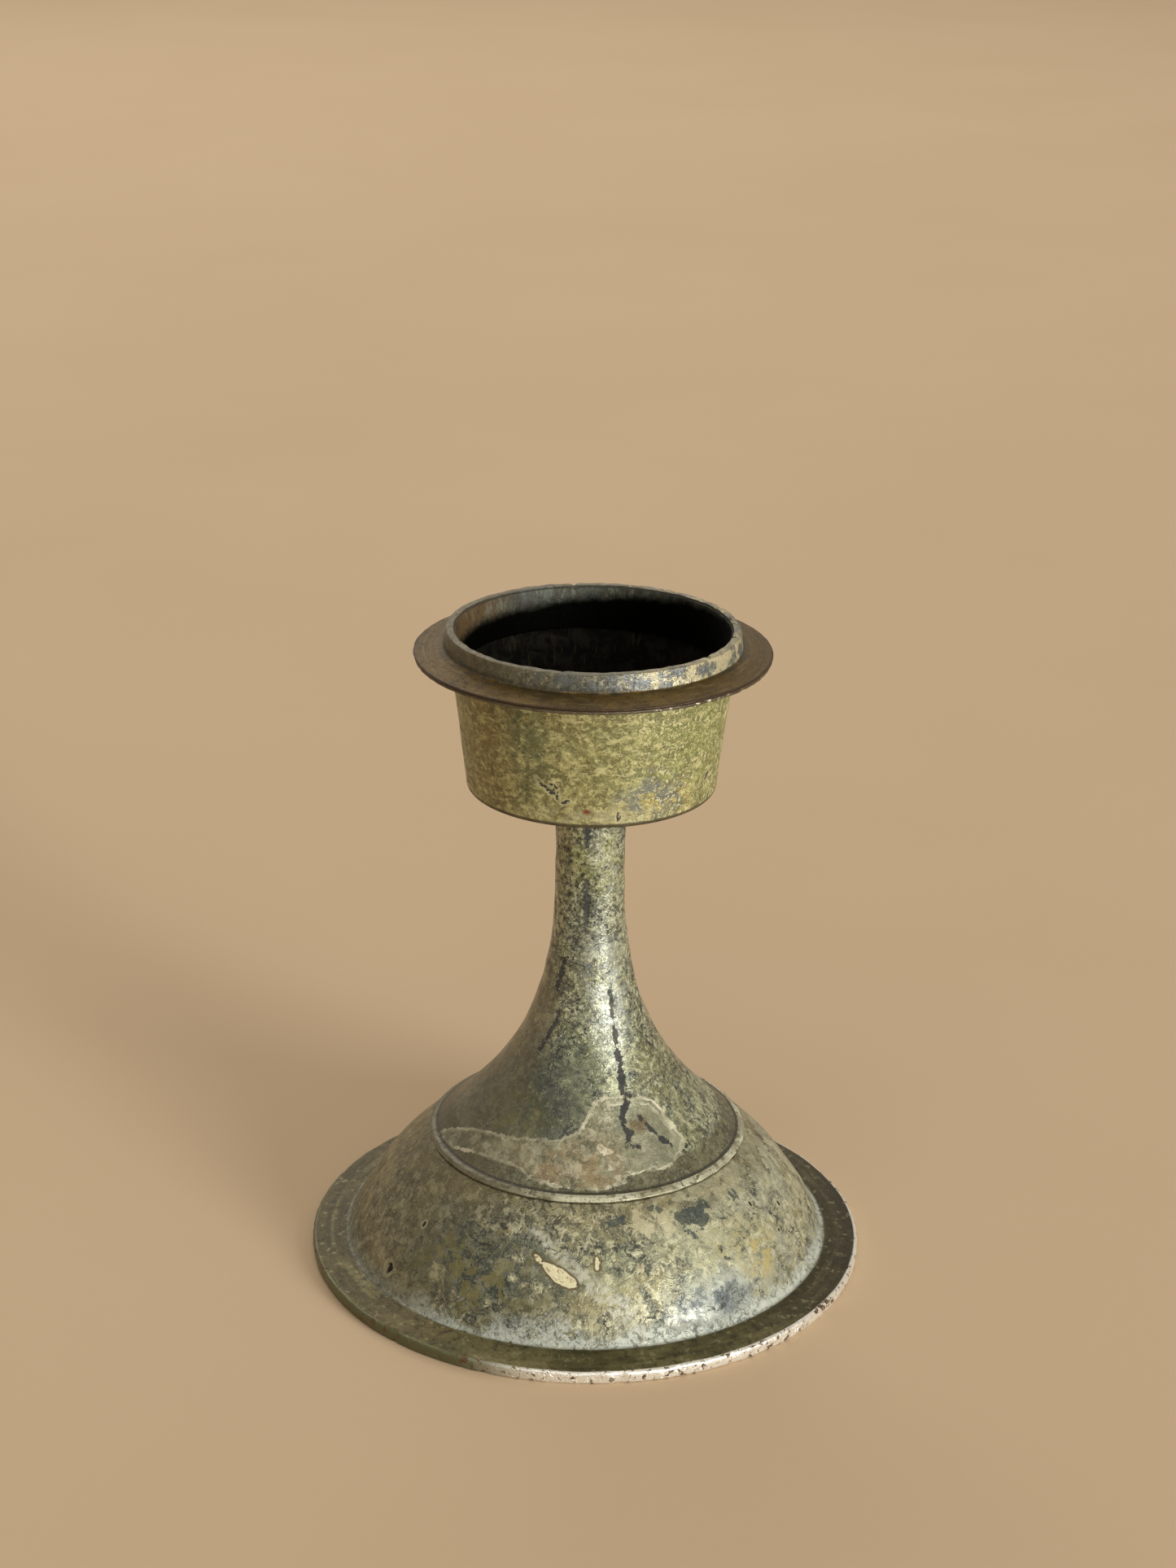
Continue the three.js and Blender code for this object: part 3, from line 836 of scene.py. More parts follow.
def stem():
    """The trumpet-shaped stem, hollow in its flare, with a bead round its rim."""
    corners = [
        (HOLLOW_MOUTH, STEM_LOW, 0.2),
        (RECESS_R, STEM_LOW),
        (RECESS_R, STEM_LOW + RECESS),
        (STEM_R - 0.15, STEM_LOW + RECESS, 0.2),
        (STEM_R, STEM_LOW + 0.6, 0.25),
        (STEM_R - 0.55, FLARE_LOW - 0.25, 0.3),
        *flare(NECK_R, FLARE_MOUTH, 70),
        (NECK_R + 0.2, STEM_TOP, 0.1),
        (BOSS_R + 0.3, STEM_TOP, 0.1),
        (BOSS_R + 0.3, BOSS_LOW - 0.3),
        (BORE_R, BOSS_LOW - 0.3),
        *reversed(flare(BORE_R, HOLLOW_MOUTH, 24)),
    ]

    def row_step(radius, height):
        """Rows are closer together on the skin of the flare, where the tide lines run."""
        return 0.4 if radius > stem_radius(height) - 0.3 and height < 47 else 0.9

    def worn(points, radius, height, bearing):
        skin = flare_radius(height, NECK_R, FLARE_MOUTH)
        outside = within(radius - skin, -0.6, -0.2) * within(height, FLARE_LOW - 0.5, FLARE_LOW + 1)
        outside = outside * within(STEM_TOP - height, 0.2, 1.5)
        dent = 0.16 * ripple(points, 19, 31) + 0.06 * ripple(points, 7, 32)
        bead = within(radius, STEM_R - 1.2, STEM_R - 0.3)
        dr = -outside * np.abs(dent) - bead * 0.08 * rubbed(points, 3.1, 33)
        dz = -bead * 0.05 * rubbed(points, 4.3, 34) * within(height, STEM_LOW + 0.5, STEM_LOW + 1.1)
        return dr, dz

    piece = turned("stem_trumpet", refined(rounded(corners), row_step), 320, worn)
    points = places(piece)
    high = np.interp(bearing_of(points), *np.array(TIDE).T, 20, 20)
    low = np.interp(bearing_of(points), *np.array(LOW_TIDE).T, 20, 20)
    tide = gap_to(points, [thin(TIDE)], stem_radius)
    low_tide = gap_to(points, [thin(LOW_TIDE)], stem_radius)
    inside = (points[:, 2] < high) & (points[:, 2] > low)
    record_mark(piece, "tide", np.where(points[:, 2] < high, 1, -1) * tide)
    record_mark(piece, "stained", np.where(inside, 1, -1) * np.minimum(tide, low_tide))
    inner = [thin(path) for path in INNER_TIDES]
    record_mark(piece, "fine_tides", np.minimum(low_tide, gap_to(points, inner, stem_radius)))
    record_gaps(piece, stem_radius, cracks=CRACKS, old_cracks=OLD_CRACKS)
    piece.data.materials.append(stem_finish())
    return piece


def stem_finish():
    """Patina, a speckled neck, the tide-marked stain with its cracks, and a paler bead, with a painted
    reflection on the left flank, painted highlights, tide lines that are partly painted highlight, and
    painted shade at the bead.
    """
    f = Finish("stem_patina")
    tones = Tones(
        base=(98, 99, 74), light=(142, 146, 116), pale=(190, 192, 158), cool=(110, 122, 114),
        warm=(134, 134, 70), dark=(42, 50, 50), pit=(34, 36, 36),
    )
    left = f.side.step(-0.4, -0.8) * f.height.step(66, 52)
    tone, dark, height = patina(f, tones, seed=40, patch=3.6, calm=left, scribble=1.0)
    # Painted reflection: the flank on the left is painted a pale brownish grey.
    tone.paint((114, 104, 82), left * 0.55)
    blot = f.noise(2.8, 50, detail=6, rough=0.66, at=f.warped(f.place, 2.0, 1.4, 51))

    tone.spots(stem_radius, blot, STEM_SPOTS_AND_HIGHLIGHTS)

    neck = f.height.step(56, 72)
    speck_noise = f.noise(0.8, 52, detail=4, rough=0.66)
    tone.paint((190, 192, 162), speck_noise.step(0.47, 0.4) * neck * 0.7)
    tone.paint((38, 40, 34), speck_noise.step(0.55, 0.6) * neck * 0.9)

    wobble = (f.noise(1.8, 54, detail=4, rough=0.56) - 0.5) * 2.4
    edge_gap = f.mark("tide") + wobble
    above = edge_gap.step(0.2, -0.5) * f.height.step(48, 35) * f.side.step(0.35, 0.0)
    tone.paint((62, 64, 46), above * 0.45)
    beige = f.coat((104, 100, 76), (144, 140, 112), blot.step(0.42, 0.6))
    warmth = f.facing(-2, 28.5, stem_radius(28.5), 22, 7, 0.6)
    beige.paint((140, 116, 78), warmth * f.noise(4, 59, detail=3).step(0.42, 0.55) * 0.7)
    flaky = f.noise(2.2, 57, detail=5, rough=0.62, at=f.warped(f.place, 2.0, 1.4, 60))
    beige.paint((180, 176, 150), flaky.step(0.55, 0.58) * 0.5)
    beige.paint((70, 70, 52), flaky.step(0.44, 0.41) * 0.7)
    stained = (f.mark("stained") + wobble).step(-0.1, 0.35)
    grey_lobe = f.side.step(0.1, 0.4) * 0.45
    beige.paint((138, 142, 120), grey_lobe)
    tone.paint(beige, stained * 0.78)
    below = (f.mark("stained") + wobble).step(0.1, -0.3) * f.height.step(28.6, 27.4)
    tone.paint((76, 71, 46), below * 0.7)

    ebb = f.noise(6, 55, detail=3).step(0.4, 0.62)
    # The pale tide lines are stain edges and partly a painted highlight: they are painted fainter on the
    # left, and the extra pale shelf below the upper edge is painted only on the lit right.
    crisp = edge_gap.band(-0.1, 0.3, 0.18)
    line = crisp * f.between(ebb, 0.35, 1.0) * f.between(f.side.step(-0.15, -0.4), 1.0, 0.42)
    fine_gap = f.mark("fine_tides") + wobble
    line = f.most(line, fine_gap.band(-0.1, 0.2, 0.2) * f.between(ebb, 0.2, 0.75))
    shelf = edge_gap.band(1.1, 1.35, 0.2) * f.side.step(0.0, 0.2) * f.height.step(30, 33) * ebb * 0.7
    line = f.most(line, shelf)
    tone.paint((202, 196, 168), line * 0.95)

    rust = f.facing(29, 34, stem_radius(34), 4.2, 3.2, 0.6)
    tone.paint((92, 77, 42), rust * blot.step(0.42, 0.52) * 0.85)
    fray = f.noise(0.8, 56, detail=4, rough=0.7)
    crack = (f.mark("cracks") + fray * 2.4).step(1.4, 1.2)
    old = (f.mark("old_cracks") + fray * 2.8).step(1.8, 1.6)
    split = f.most(crack, old * 0.9)
    tone.paint((24, 26, 30), split * 0.95)

    bead_noise = f.noise(1.7, 58, detail=5, rough=0.68)
    bead = f.radius.step(FLARE_MOUTH + 0.25, FLARE_MOUTH + 0.4)
    # Painted shade: a dark line in the crease where the flare meets the bead.
    tone.paint((44, 42, 32), f.radius.band(FLARE_MOUTH - 0.2, FLARE_MOUTH + 0.3, 0.12) * 0.75)
    bead_tone = f.coat((104, 98, 72), (198, 198, 172), bead_noise.step(0.42, 0.5))
    bead_tone.paint((84, 72, 50), bead_noise.step(0.58, 0.62) * 0.8)
    bead_tone.paint((118, 112, 84), f.noise(7, 61).step(0.45, 0.6) * 0.6)
    # Painted shade: the bead is painted darker on its left.
    bead_tone.paint((84, 77, 50), f.side.step(0.0, -0.6) * 0.85)
    tone.paint(bead_tone, bead * f.height.step(STEM_LOW + 0.05, STEM_LOW + 0.3) * 0.9)

    rough = f.between(f.most(dark, line), 0.26, 0.42)
    rough = rough + f.height.step(46, 34) * 0.1 + split * 0.4
    metal = f.between(f.most(line, split), 0.35, 0.1)
    bumps = height + line * 0.05 + split * -0.12 + stained * flaky * 0.1
    return f.finish(tone, rough, metal, bumps, specular=0.75)


# ------------------------------------------------------------------ cup

CHIPS = [
    [(-24, 104.2, 0.1), (-22, 103.2, 0.15), (-20, 102.8, 0.1)],
    [(-19.5, 102.4, 0.15), (-17.5, 101.8, 0.3), (-15, 101.7, 0.1)],
    [(-17.6, 103.4, 0.05), (-16.6, 103.4, 0.15)], [(-15.4, 102.6, 0.2), (-14.4, 102.4, 0.1)],
    [(-15.0, 101.0, 0.1), (-14.4, 100.6, 0.2)],
    [(-12.6, 99.8, 0.1), (-10.6, 100.2, 0.2), (-9.6, 100.3, 0.05)],
    [(11.6, 96.4, 0.05), (12.2, 97.2, 0.25), (12.0, 98.0, 0.1)],
    [(59.5, 100.6, 0.1), (61.5, 101.6, 0.3)], [(65, 95.8, 0.2), (67, 97.2, 0.1)],
]
SCRATCHES = [
    [(38, 109.6, 0.05), (46, 111.4, 0.15), (54, 112.8, 0.05)], [(44, 109.0, 0.05), (58, 112.0, 0.1)],
    [(56, 114.6, 0.05), (68, 117.2, 0.1)], [(60, 110.0, 0.05), (70, 112.2, 0.1)],
]
CUP_SPOTS_AND_SHADE = [
    (62, 108, 34, 26, SOFT, 0.55, (144, 154, 88)),
    (-28, 110, 8, 18, DENSE, 0.65, (72, 82, 56)),
    # Painted shade: a darker brown band down the cup's left side.
    (-52, 108, 12, 22, RAGGED, 0.5, (114, 92, 56)),
    (27, 103.5, 9, 5, RAGGED, 0.6, (120, 124, 112)),
    (30, 100, 14, 7, RAGGED, 0.8, (108, 112, 112)),
    (36, 98.5, 14, 7, LOW_RAGGED, 0.6, (192, 172, 104)),
    (4, 96.8, 26, 4, SOFT, 0.55, (172, 168, 134)),
    (-2, 98.4, 1.5, 1.0, (0.2, 0.3), 0.95, (106, 50, 28)),
]


def cup(soot):
    """The tapered cup with its out-turned brim; soot is the material of its inside."""
    under = CUP_TOP - CUP_BRIM
    corners = [
        (RIVET_HOLE, CUP_LOW, 0.1),
        (CUP_FLOOR_R, CUP_LOW, 0.9),
        (cup_radius(under), under, 0.8),
        (CUP_R, under, 0.25),
        (CUP_R, CUP_TOP, 0.25),
        (cup_radius(CUP_TOP) - CUP_WALL, CUP_TOP, 0.9),
        (cup_radius(CUP_LOW) - CUP_WALL, CUP_LOW + CUP_FLOOR, 0.9),
        (RIVET_HOLE, CUP_LOW + CUP_FLOOR, 0.1),
    ]
    chips = [(38, 0.8, 0.3), (47, 0.5, 0.2), (55, 0.6, 0.25), (-30, 0.6, 0.12), (170, 0.9, 0.2)]

    def row_step(radius, height):
        """Rows are closer together on the cup's outside than inside it."""
        return 0.6 if radius > cup_radius(height) - 0.3 else 1.6

    def worn(points, radius, height, bearing):
        wall = within(height, CUP_LOW + 0.5, CUP_LOW + 2) * within(CUP_TOP - height, 1.0, 2.5)
        dent = 0.1 * ripple(points, 15, 61) + 0.04 * ripple(points, 5, 62)
        edge = within(radius, CUP_R - 0.8, CUP_R)
        frayed = notches(bearing, radius, chips) + 0.05 * rubbed(points, 2.1, 63)
        dr = -wall * (0.02 + np.abs(dent)) * 0.8 - edge * frayed
        return dr, np.zeros_like(dr)

    def is_inside(x, y, z):
        return (np.hypot(x, y) < cup_radius(z) - 0.5) & (z > CUP_LOW + 0.3) & (z < CUP_TOP - 0.3)

    piece = turned("cup_bucket", refined(rounded(corners), row_step), 340, worn)
    record_gaps(piece, cup_radius, chips=CHIPS, scratches=SCRATCHES)
    piece.data.materials.append(cup_finish())
    piece.data.materials.append(soot)
    paint_inside(piece, is_inside)
    return piece


def cup_finish():
    """Yellow-olive patina with worm tracks, streaks, chips, scratches and a dark, worn brim, with painted
    shade down the left side and partly painted glints on the brim.
    """
    f = Finish("cup_patina")
    tones = Tones(
        base=(120, 114, 70), light=(150, 145, 95), pale=(186, 182, 130), cool=(126, 130, 84),
        warm=(136, 124, 74), dark=(88, 84, 50), pit=(78, 74, 48),
    )
    tone, dark, height = patina(f, tones, seed=70, patch=3.4, scribble=0.4)
    blot = f.noise(2.4, 80, detail=6, rough=0.66, at=f.warped(f.place, 1.8, 1.2, 81))

    tone.spots(cup_radius, blot, CUP_SPOTS_AND_SHADE)

    right = f.across.step(0, 14)
    worms = f.noise(1.3, 83, detail=3, rough=0.6, warp=2.2)
    tone.paint((78, 82, 48), worms.band(0.49, 0.52, 0.012) * right * 0.85)
    tone.paint((208, 204, 158), worms.step(0.55, 0.6) * right * 0.7)
    streaks = f.noise(1.0, 89, detail=4, rough=0.66, at=f.stretched(2.2, 1.0))
    tone.paint((192, 186, 134), streaks.step(0.54, 0.63) * 0.6)
    tone.paint((98, 90, 52), streaks.step(0.45, 0.36) * 0.55)
    scratch = (f.mark("scratches") + f.noise(1.4, 84, detail=3)).step(0.7, 0.45)
    tone.paint((96, 102, 58), scratch * 0.65)
    chip_gap = f.mark("chips") + f.noise(0.6, 85, detail=3)
    tone.paint((186, 182, 140), chip_gap.band(0.65, 0.95, 0.15) * 0.4)
    chip = chip_gap.step(0.74, 0.54)
    tone.paint((32, 32, 34), chip * 0.95)
    low = f.height.step(CUP_LOW + 1.05, CUP_LOW + 0.75)
    hem = low * f.radius.step(CUP_FLOOR_R - 2.4, CUP_FLOOR_R - 0.9) * 0.85
    tone.paint((58, 50, 36), hem)

    brim = f.radius.step(CUP_R - 1.2, CUP_R - 0.6)
    tone.paint((60, 46, 36), brim * 0.85)
    # Bare worn spots on the brim, kept to the lit right front, where their pale colour is partly a painted
    # glint.
    bare_and_glint = brim * f.noise(1.1, 88, detail=4, rough=0.7).step(0.56, 0.6) * f.across.step(4, 16)
    tone.paint((172, 164, 142), bare_and_glint)
    rough = f.between(bare_and_glint, f.between(dark, 0.42, 0.5), 0.36)
    metal = f.between(bare_and_glint, f.between(chip, 0.28, 0.05), 0.6)
    bumps = height + chip * -0.1 + scratch * -0.03 + streaks * 0.03
    return f.finish(tone, rough, metal, bumps)


def soot_finish():
    """Candle soot and old wax inside the cup."""
    f = Finish("cup_soot")
    cake = f.noise(2.6, 160, detail=5, rough=0.66, warp=0.6)
    tone = f.coat((9, 8, 5), (24, 22, 14), cake.step(0.42, 0.62))
    streak = f.noise(0.9, 161, detail=3, at=f.stretched(1.0, 6.0))
    tone.paint((46, 44, 28), streak.step(0.6, 0.68) * 0.5)
    rough = f.between(cake.step(0.45, 0.6), 0.9, 0.7)
    bumps = cake * 0.25 + f.noise(0.5, 162, detail=2) * 0.05
    return f.finish(tone, rough, 0.0, bumps, specular=0.1)


# ------------------------------------------------------------------ candle ring


def candle_ring():
    """The loose ring: a brim that lies on the cup's, a collar above it and a skirt below."""
    under = CUP_TOP + 0.1
    top = under + 0.39
    skirt = cup_radius(RING_LOW) - CUP_WALL - 0.3
    corners = [
        (skirt - 0.8, RING_LOW, 0.2),
        (skirt, RING_LOW, 0.2),
        (cup_radius(under - 1) - CUP_WALL - 0.3, under - 1, 0.2),
        (cup_radius(under) - CUP_WALL + 0.7, under, 0.3),
        (RING_R, under, 0.2),
        (RING_R, top, 0.2),
        (COLLAR_FOOT[0], COLLAR_FOOT[1] - 0.15, 0.5),
        (COLLAR_R, RING_TOP, 0.3),
        (COLLAR_BORE, RING_TOP, 0.15),
        (COLLAR_BORE - 0.05, RING_TOP - 0.32, 0.1),
        (COLLAR_BORE - 0.3, RING_TOP - 0.45, 0.1),
    ]
    outline = refined(rounded(corners), 0.45)
    nicks = [(188.4, 0.45, 0.42), (196, 0.3, 0.15), (150, 0.35, 0.14), (118, 0.5, 0.2), (104, 0.5, 0.32)]
    nicks += [(97, 0.4, 0.24), (91, 0.35, 0.22), (80, 0.4, 0.12), (52, 0.35, 0.12)]
    nicks += [(-12, 0.3, 0.1), (-70, 0.4, 0.12)]

    def worn(points, radius, height, bearing):
        lip = within(height, RING_TOP - 1.0, RING_TOP - 0.1)
        top_wear = notches(bearing, radius, nicks) + 0.07 * rubbed(points, 2.3, 91)
        top_wear = top_wear + 0.05 * rubbed(points, 17, 92)
        edge = within(radius, RING_R - 1.5, RING_R - 0.2)
        collar = within(height, COLLAR_FOOT[1] + 0.5, RING_TOP - 0.8)
        collar = collar * within(radius, COLLAR_R - 0.68, COLLAR_R - 0.18)
        dr = -edge * 0.05 * rubbed(points, 3.4, 93) - collar * 0.05 * rubbed(points, 8, 94)
        return dr, -lip * top_wear

    piece = turned("ring_collar", outline, 420, worn)
    piece.data.materials.append(ring_finish())
    return piece


def ring_finish():
    """Grey collar, brown brim, and a bore lit under its lip and near black below, soot with painted shadow;
    painted shade on the collar's left, the brim's sides and edge, and the groove.
    """
    f = Finish("ring_patina")
    foot_r, foot_z = COLLAR_FOOT
    tones = Tones(
        base=(92, 92, 78), light=(134, 130, 108), pale=(178, 174, 150), cool=(112, 118, 116),
        warm=(124, 114, 78), dark=(64, 66, 58), pit=(50, 48, 38),
    )
    collar, dark, height = patina(f, tones, seed=100, patch=3.0)
    blot = f.noise(3.0, 110, detail=6, rough=0.64, at=f.warped(f.place, 2.0, 1.4, 111))
    right = f.across.step(4, 14)
    # The cream blotches are painted only on the lit right of the collar, so they are partly painted light.
    collar.paint((196, 186, 148), blot.step(0.54, 0.47) * right * 0.75)
    collar.paint((94, 102, 106), blot.step(0.52, 0.57) * 0.7)
    # Painted shade: the collar is painted darker from its front round to its left, and browner at the far
    # left as a painted reflection.
    collar.paint((66, 66, 54), f.across.step(8, -2) * 0.4)
    collar.paint((90, 82, 56), f.across.step(-4, -18) * 0.7)
    # The collar is painted darker towards its foot, except on the right.
    collar_foot_level = f.height + f.noise(1.6, 115, detail=5, rough=0.7) * -2.6
    dark_collar_foot = collar_foot_level.step(foot_z - 0.3, foot_z - 1.0) * f.side.step(0.7, 0.1)
    collar.paint((52, 50, 40), dark_collar_foot * 0.7)

    brim = f.coat((76, 60, 26), (104, 83, 38), f.noise(8, 112, detail=4).step(0.4, 0.62))
    # Painted shade: the brim is painted browner and darker towards its left and right sides.
    brim.paint((88, 66, 10), abs(f.side).step(0.3, 0.8) * 0.8)
    turning = f.rings(0.8, 117)
    brim.paint((128, 112, 74), turning.step(0.5, 0.68) * 0.45)
    brim.paint((48, 40, 26), turning.step(0.46, 0.32) * 0.5)
    brim.paint((50, 43, 28), f.noise(1.5, 113, detail=5).step(0.52, 0.62) * 0.45)
    near_collar = f.radius.step(foot_r + 1.8, foot_r + 0.2) * f.noise(2.2, 114, detail=4).step(0.42, 0.6)
    brim.paint((50, 48, 38), near_collar * 0.65)
    past_collar = f.radius.step(foot_r - 0.1, foot_r + 0.1)
    on_brim = f.height.step(foot_z + 0.24, foot_z - 0.06) * past_collar
    tone = f.coat(collar, brim, on_brim)

    wall_r = (COLLAR_R + COLLAR_BORE) / 2
    below_lip = f.height.step(RING_TOP - 0.15, RING_TOP - 0.3)
    inside = f.radius.step(wall_r + 0.1, wall_r - 0.1) * below_lip
    # Painted light and shadow in the bore: a band under the lip is painted lit, warmer on the left, and
    # below a line that falls lower on the left the bore is painted near black, soot together with painted
    # shadow.
    lit = f.coat((46, 43, 22), (54, 58, 46), blot.step(0.42, 0.58))
    lit.paint((78, 58, 26), f.side.step(-0.5, -0.9))
    drips = f.noise(1.5, 119, detail=5, rough=0.7, at=f.stretched(1.0, 2.5))
    lit.paint((96, 100, 84), drips.step(0.53, 0.6) * 0.55)
    lit.paint((24, 24, 16), drips.step(0.46, 0.38) * 0.7)
    tone.paint(lit, inside)
    level = f.height + f.side * -1.9 + f.noise(2.2, 118, detail=4) * -2.0
    blackened = inside * level.step(RING_TOP - 2.0, RING_TOP - 4.4)
    tone.paint((6, 6, 4), blackened)
    # Painted shade: the brim's rounded outer edge is painted dark.
    edge = f.radius.step(RING_R - 0.5, RING_R - 0.3)
    tone.paint((58, 42, 30), edge * 0.85)
    lip_noise = f.noise(1.2, 116, detail=4, rough=0.7)
    lip = f.height.step(RING_TOP - 0.45, RING_TOP - 0.2) * lip_noise.step(0.38, 0.5)
    tone.paint((104, 96, 72), lip * 0.6)
    # Painted shade: a dark line in the groove just inside the top of the bore.
    groove = f.radius.step(COLLAR_BORE + 0.14, COLLAR_BORE - 0.06)
    groove = groove * f.height.step(RING_TOP - 0.7, RING_TOP - 0.5)
    tone.paint((30, 28, 22), groove * 0.7)
    rough = f.between(on_brim, f.between(dark, 0.28, 0.4), 0.42)
    rough = f.between(inside, rough, 0.6)
    metal = f.between(on_brim, f.between(inside, 0.35, blackened), 0.6)
    return f.finish(tone, rough, metal, height)


# ------------------------------------------------------------------ hidden fastening


def steel_finish():
    """Dull steel, spotted with rust."""
    f = Finish("rusty_steel")
    rust = f.noise(2.2, 130, detail=5, rough=0.65, warp=0.6).step(0.46, 0.58)
    tone = f.coat((96, 92, 86), (124, 120, 112), f.noise(6, 131, detail=3))
    tone.paint((96, 70, 48), rust * 0.85)
    tone.paint((62, 44, 34), f.noise(0.7, 132, detail=3).step(0.55, 0.68) * 0.5)
    rough = f.between(rust, 0.38, 0.75)
    metal = f.between(rust, 0.95, 0.25)
    bumps = f.noise(0.8, 133, detail=4, rough=0.6) * 0.08
    return f.finish(tone, rough, metal, bumps)


def brass_finish():
    """Dull turned brass, sooty where it shows above the cup's floor."""
    f = Finish("boss_brass")
    tone = f.coat((128, 106, 62), (158, 134, 82), f.noise(3, 140, detail=4))
    tone.paint((82, 72, 48), f.noise(1.2, 141, detail=4).step(0.54, 0.66) * 0.6)
    blackened = f.height.step(CUP_LOW + 0.4, CUP_LOW + 0.7)
    tone.paint((14, 13, 9), blackened * 0.92)
    rough = f.between(blackened, f.between(f.noise(2, 142), 0.35, 0.6), 0.8)
    rings = f.math("SINE", f.radius * 18.0)
    bumps = rings * 0.004 + f.noise(0.6, 143, detail=3) * 0.03
    return f.finish(tone, rough, f.between(blackened, 0.9, 0.3), bumps)


def cup_boss():
    """The boss has a blind hole for the rod, and its neck is riveted over in the cup's floor."""
    hole, hole_top, neck = ROD_R + 0.05, BOSS_TOP - 1.7, RIVET_HOLE - 0.05
    corners = [
        (AXIS_R, hole_top),
        (hole, hole_top),
        (hole, BOSS_LOW, 0.2),
        (BOSS_R, BOSS_LOW, 0.3),
        (BOSS_R, CUP_LOW, 0.1),
        (neck, CUP_LOW),
        (neck, BOSS_TOP, 0.12),
        (AXIS_R, BOSS_TOP),
    ]
    return small_turned("boss_turned", corners, 72, brass_finish())


def tie_rod(steel):
    """A rod with a rolled thread at both ends: the thread's crest climbs one pitch for each turn."""
    pitch, deep, sides, per_pitch = 0.8, 0.42, 32, 8
    thread_ends = (ROD_LOW + 16, ROD_TOP - 12)
    plain = np.linspace(thread_ends[0], thread_ends[1], 12)[1:-1]
    step = pitch / per_pitch
    low_part = np.arange(ROD_LOW, thread_ends[0] + step / 2, step)
    high_part = np.arange(thread_ends[1], ROD_TOP + step / 2, step)
    heights = np.concatenate([low_part, plain, np.minimum(high_part, ROD_TOP)])
    outline = np.array([(AXIS_R, ROD_LOW), *[(ROD_R, z) for z in heights], (AXIS_R, ROD_TOP)])

    def worn(points, radius, height, bearing):
        skin = radius > 1
        turns = (height / pitch + bearing / 360) % 1
        groove = deep * (1 - np.abs(2 * turns - 1))
        from_plain = np.maximum(thread_ends[0] - height, height - thread_ends[1])
        threaded = within(from_plain, 0.2, 1.2)
        end_gap = np.minimum(height - ROD_LOW, ROD_TOP - height)
        chamfer = 0.5 * (1 - within(end_gap, 0, 0.5))
        dr = np.where(skin, -np.maximum(groove * threaded, chamfer), 0)
        return dr, np.zeros_like(dr)

    piece = turned("rod_threaded", outline, sides, worn)
    piece.data.materials.append(steel)
    return piece


def clamp_bar(steel):
    """A strip with round ends and eased edges, bored for the rod."""
    half_width = BAR_WIDTH / 2
    reach = BAR_HALF - half_width
    hole, ease, burr, count = ROD_R + 0.3, 0.45, 0.2, 96
    turn = np.arange(count) * 2 * math.pi / count
    side = np.stack([np.cos(turn), np.sin(turn)], axis=-1)
    straight = np.sign(side[:, 0])[:, None] * np.array([reach, 0])

    def loop(inset, height):
        outer = side * (half_width - inset) + straight
        return np.column_stack([outer, np.full(count, height)])

    def bore(widen, height):
        return np.column_stack([side * (hole + widen), np.full(count, height)])

    eased = [(ease, 0), (ease * 0.3, ease * 0.3), (0, ease)]
    rings = [bore(burr, BAR_LOW)]
    rings += [loop(inset, BAR_LOW + rise) for inset, rise in eased]
    rings += [loop(inset, BAR_TOP - rise) for inset, rise in reversed(eased)]
    rings += [bore(burr, BAR_TOP), bore(0, BAR_TOP - burr), bore(0, BAR_LOW + burr)]
    faces = []
    for i in range(len(rings)):
        after = (i + 1) % len(rings)
        for j in range(count):
            k = (j + 1) % count
            faces.append((i * count + j, i * count + k, after * count + k, after * count + j))
    piece = new_piece("bar_strip", np.concatenate(rings), faces)
    piece.data.materials.append(steel)
    return piece


def foot_washer(steel):
    """A plain washer with eased edges."""
    hole = ROD_R + 0.2
    corners = [
        (hole, WASHER_LOW, 0.12),
        (WASHER_R, WASHER_LOW, 0.3),
        (WASHER_R, WASHER_TOP, 0.12),
        (hole, WASHER_TOP, 0.12),
    ]
    return small_turned("washer_flat", corners, 96, steel)


def foot_nut(steel):
    """A hexagon nut: each ring is the hexagon, cut back to a circle where the chamfers pass through it."""
    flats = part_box("foot_nut")[1].y / MM
    sides, levels = 144, 9
    face = flats * 0.95
    slope = 0.4
    bevel = (NUT_R - face) * slope
    low_levels = np.linspace(NUT_LOW, NUT_LOW + bevel, levels)
    high_levels = np.linspace(NUT_TOP - bevel, NUT_TOP, levels)
    heights = np.concatenate([low_levels, high_levels])
    bore = ROD_R + 0.05
    outline = [(bore, NUT_LOW + 0.25), (bore + 0.25, NUT_LOW)]
    outline += [(NUT_R, z) for z in heights]
    outline += [(bore + 0.25, NUT_TOP), (bore, NUT_TOP - 0.25)]

    def worn(points, radius, height, bearing):
        from_flat = np.radians((bearing + 30) % 60 - 30)
        hexagon = flats / np.cos(from_flat)
        end_gap = np.minimum(height - NUT_LOW, NUT_TOP - height)
        cone = face + end_gap / slope
        body = radius > bore + 1
        dr = np.where(body, np.minimum(hexagon, cone) - NUT_R, 0)
        return dr, np.zeros_like(dr)

    piece = turned("nut_hexagon", np.array(outline), sides, worn)
    piece.data.materials.append(steel)
    return piece


# ------------------------------------------------------------------ assembly

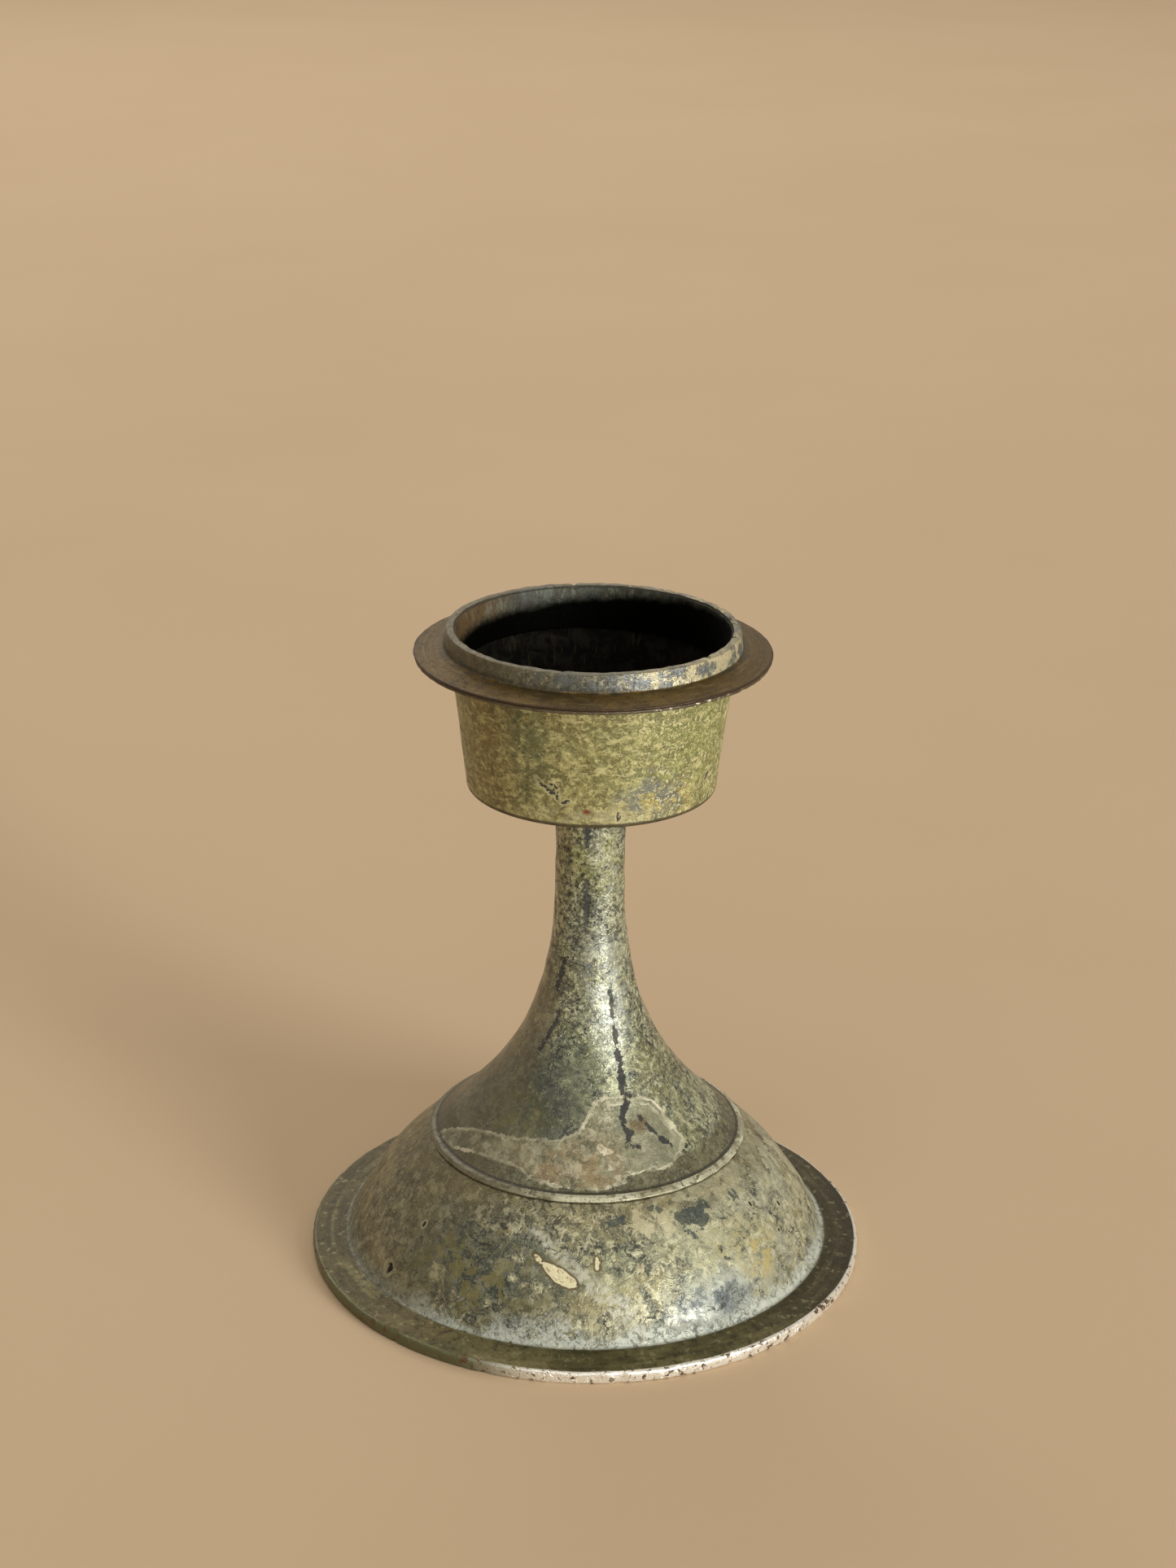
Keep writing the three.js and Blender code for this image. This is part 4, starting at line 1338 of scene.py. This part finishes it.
steel = steel_finish()
soot = soot_finish()
for node, body, slot, piece in [
    ("foot", "stand", "foot_patina", foot()),
    ("stem", "stand", "stem_patina", stem()),
    ("cup", "stand", "cup_patina", cup(soot)),
    ("candle_ring", "ring", "ring_patina", candle_ring()),
    ("cup_boss", "stand", "boss_brass", cup_boss()),
    ("tie_rod", "stand", "rusty_steel", tie_rod(steel)),
    ("clamp_bar", "stand", "rusty_steel", clamp_bar(steel)),
    ("foot_washer", "stand", "rusty_steel", foot_washer(steel)),
    ("foot_nut", "stand", "rusty_steel", foot_nut(steel)),
]:
    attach(piece, body)
    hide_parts(node)


# ------------------------------------------------------------------ studio


def floor():
    """A plain pale floor, twelve metres across."""
    half = 6000
    corners = [(-half, -half, 0), (half, -half, 0), (half, half, 0), (-half, half, 0)]
    piece = new_piece("floor", corners, [(0, 1, 2, 3)])
    f = Finish("floor_paint")
    tone = f.coat((194, 171, 141), (201, 179, 150), f.noise(160, 150, detail=3))
    f.finish(tone, 0.85, 0.0, f.noise(2.5, 151, detail=2) * 0.02, specular=0.1)
    piece.data.materials.append(f.material)


def aim(lamp, bearing, elevation, distance):
    """Puts a lamp out at a bearing and elevation, facing the middle of the object."""
    bpy.context.scene.collection.objects.link(lamp)
    rise = math.radians(elevation)
    spot = on_axis(distance * math.cos(rise), bearing, distance * math.sin(rise))
    middle = Vector((0, 0, STEM_TOP / 2 * MM))
    lamp.location = Vector(spot.tolist()) + middle
    lamp.rotation_euler = (middle - lamp.location).to_track_quat("-Z", "Y").to_euler()


def broad_sun(name, bearing, elevation, width, strength, tint):
    """A soft light from far away, so many degrees across."""
    data = bpy.data.lights.new(name, "SUN")
    data.angle = math.radians(width)
    data.energy = strength
    data.color = tint
    aim(bpy.data.objects.new(name, data), bearing, elevation, 2.0)


def softbox(name, bearing, elevation, distance, size, watts, tint):
    """A square lamp, size across, whose lengths are in metres."""
    data = bpy.data.lights.new(name, "AREA")
    data.shape = "SQUARE"
    data.size = size
    data.energy = watts
    data.color = tint
    aim(bpy.data.objects.new(name, data), bearing, elevation, distance)


def studio():
    """Window light low from the right, and soft fill from above and behind."""
    world = bpy.data.worlds.new("studio")
    bpy.context.scene.world = world
    world.use_nodes = True
    background = world.node_tree.nodes["Background"]
    background.inputs["Color"].default_value = colour(236, 224, 206)
    background.inputs["Strength"].default_value = 0.55
    broad_sun("window_low", 44, 3, 20, 2.8, (1.0, 0.99, 0.98))
    broad_sun("window_high", 46, 17, 20, 1.7, (1.0, 0.985, 0.96))
    softbox("fill", -20, 60, 2.4, 1.6, 9.0, (1.0, 0.95, 0.88))
    softbox("back", 195, 40, 2.4, 1.6, 12.0, (1.0, 0.96, 0.9))
    bpy.context.scene.view_settings.view_transform = "Standard"
    floor()


def camera():
    """A short telephoto, a little over half a metre away, looking down at the candlestick."""
    distance, height = 0.49557, 0.28733
    yaw, pitch, roll = (math.radians(a) for a in (-0.072, 21.246, 0.777))
    ahead = Vector((math.sin(yaw) * math.cos(pitch), math.cos(yaw) * math.cos(pitch), -math.sin(pitch)))
    level = ahead.cross(Vector((0, 0, 1))).normalized()
    upright = level.cross(ahead)
    right = level * math.cos(roll) + upright * math.sin(roll)
    up = upright * math.cos(roll) - level * math.sin(roll)
    data = bpy.data.cameras.new("camera")
    data.lens = 66.37
    eye = bpy.data.objects.new("camera", data)
    bpy.context.scene.collection.objects.link(eye)
    rotation = Matrix((right, up, -ahead)).transposed().to_4x4()
    eye.matrix_world = Matrix.Translation((0, -distance, height)) @ rotation
    bpy.context.scene.camera = eye


camera()
studio()
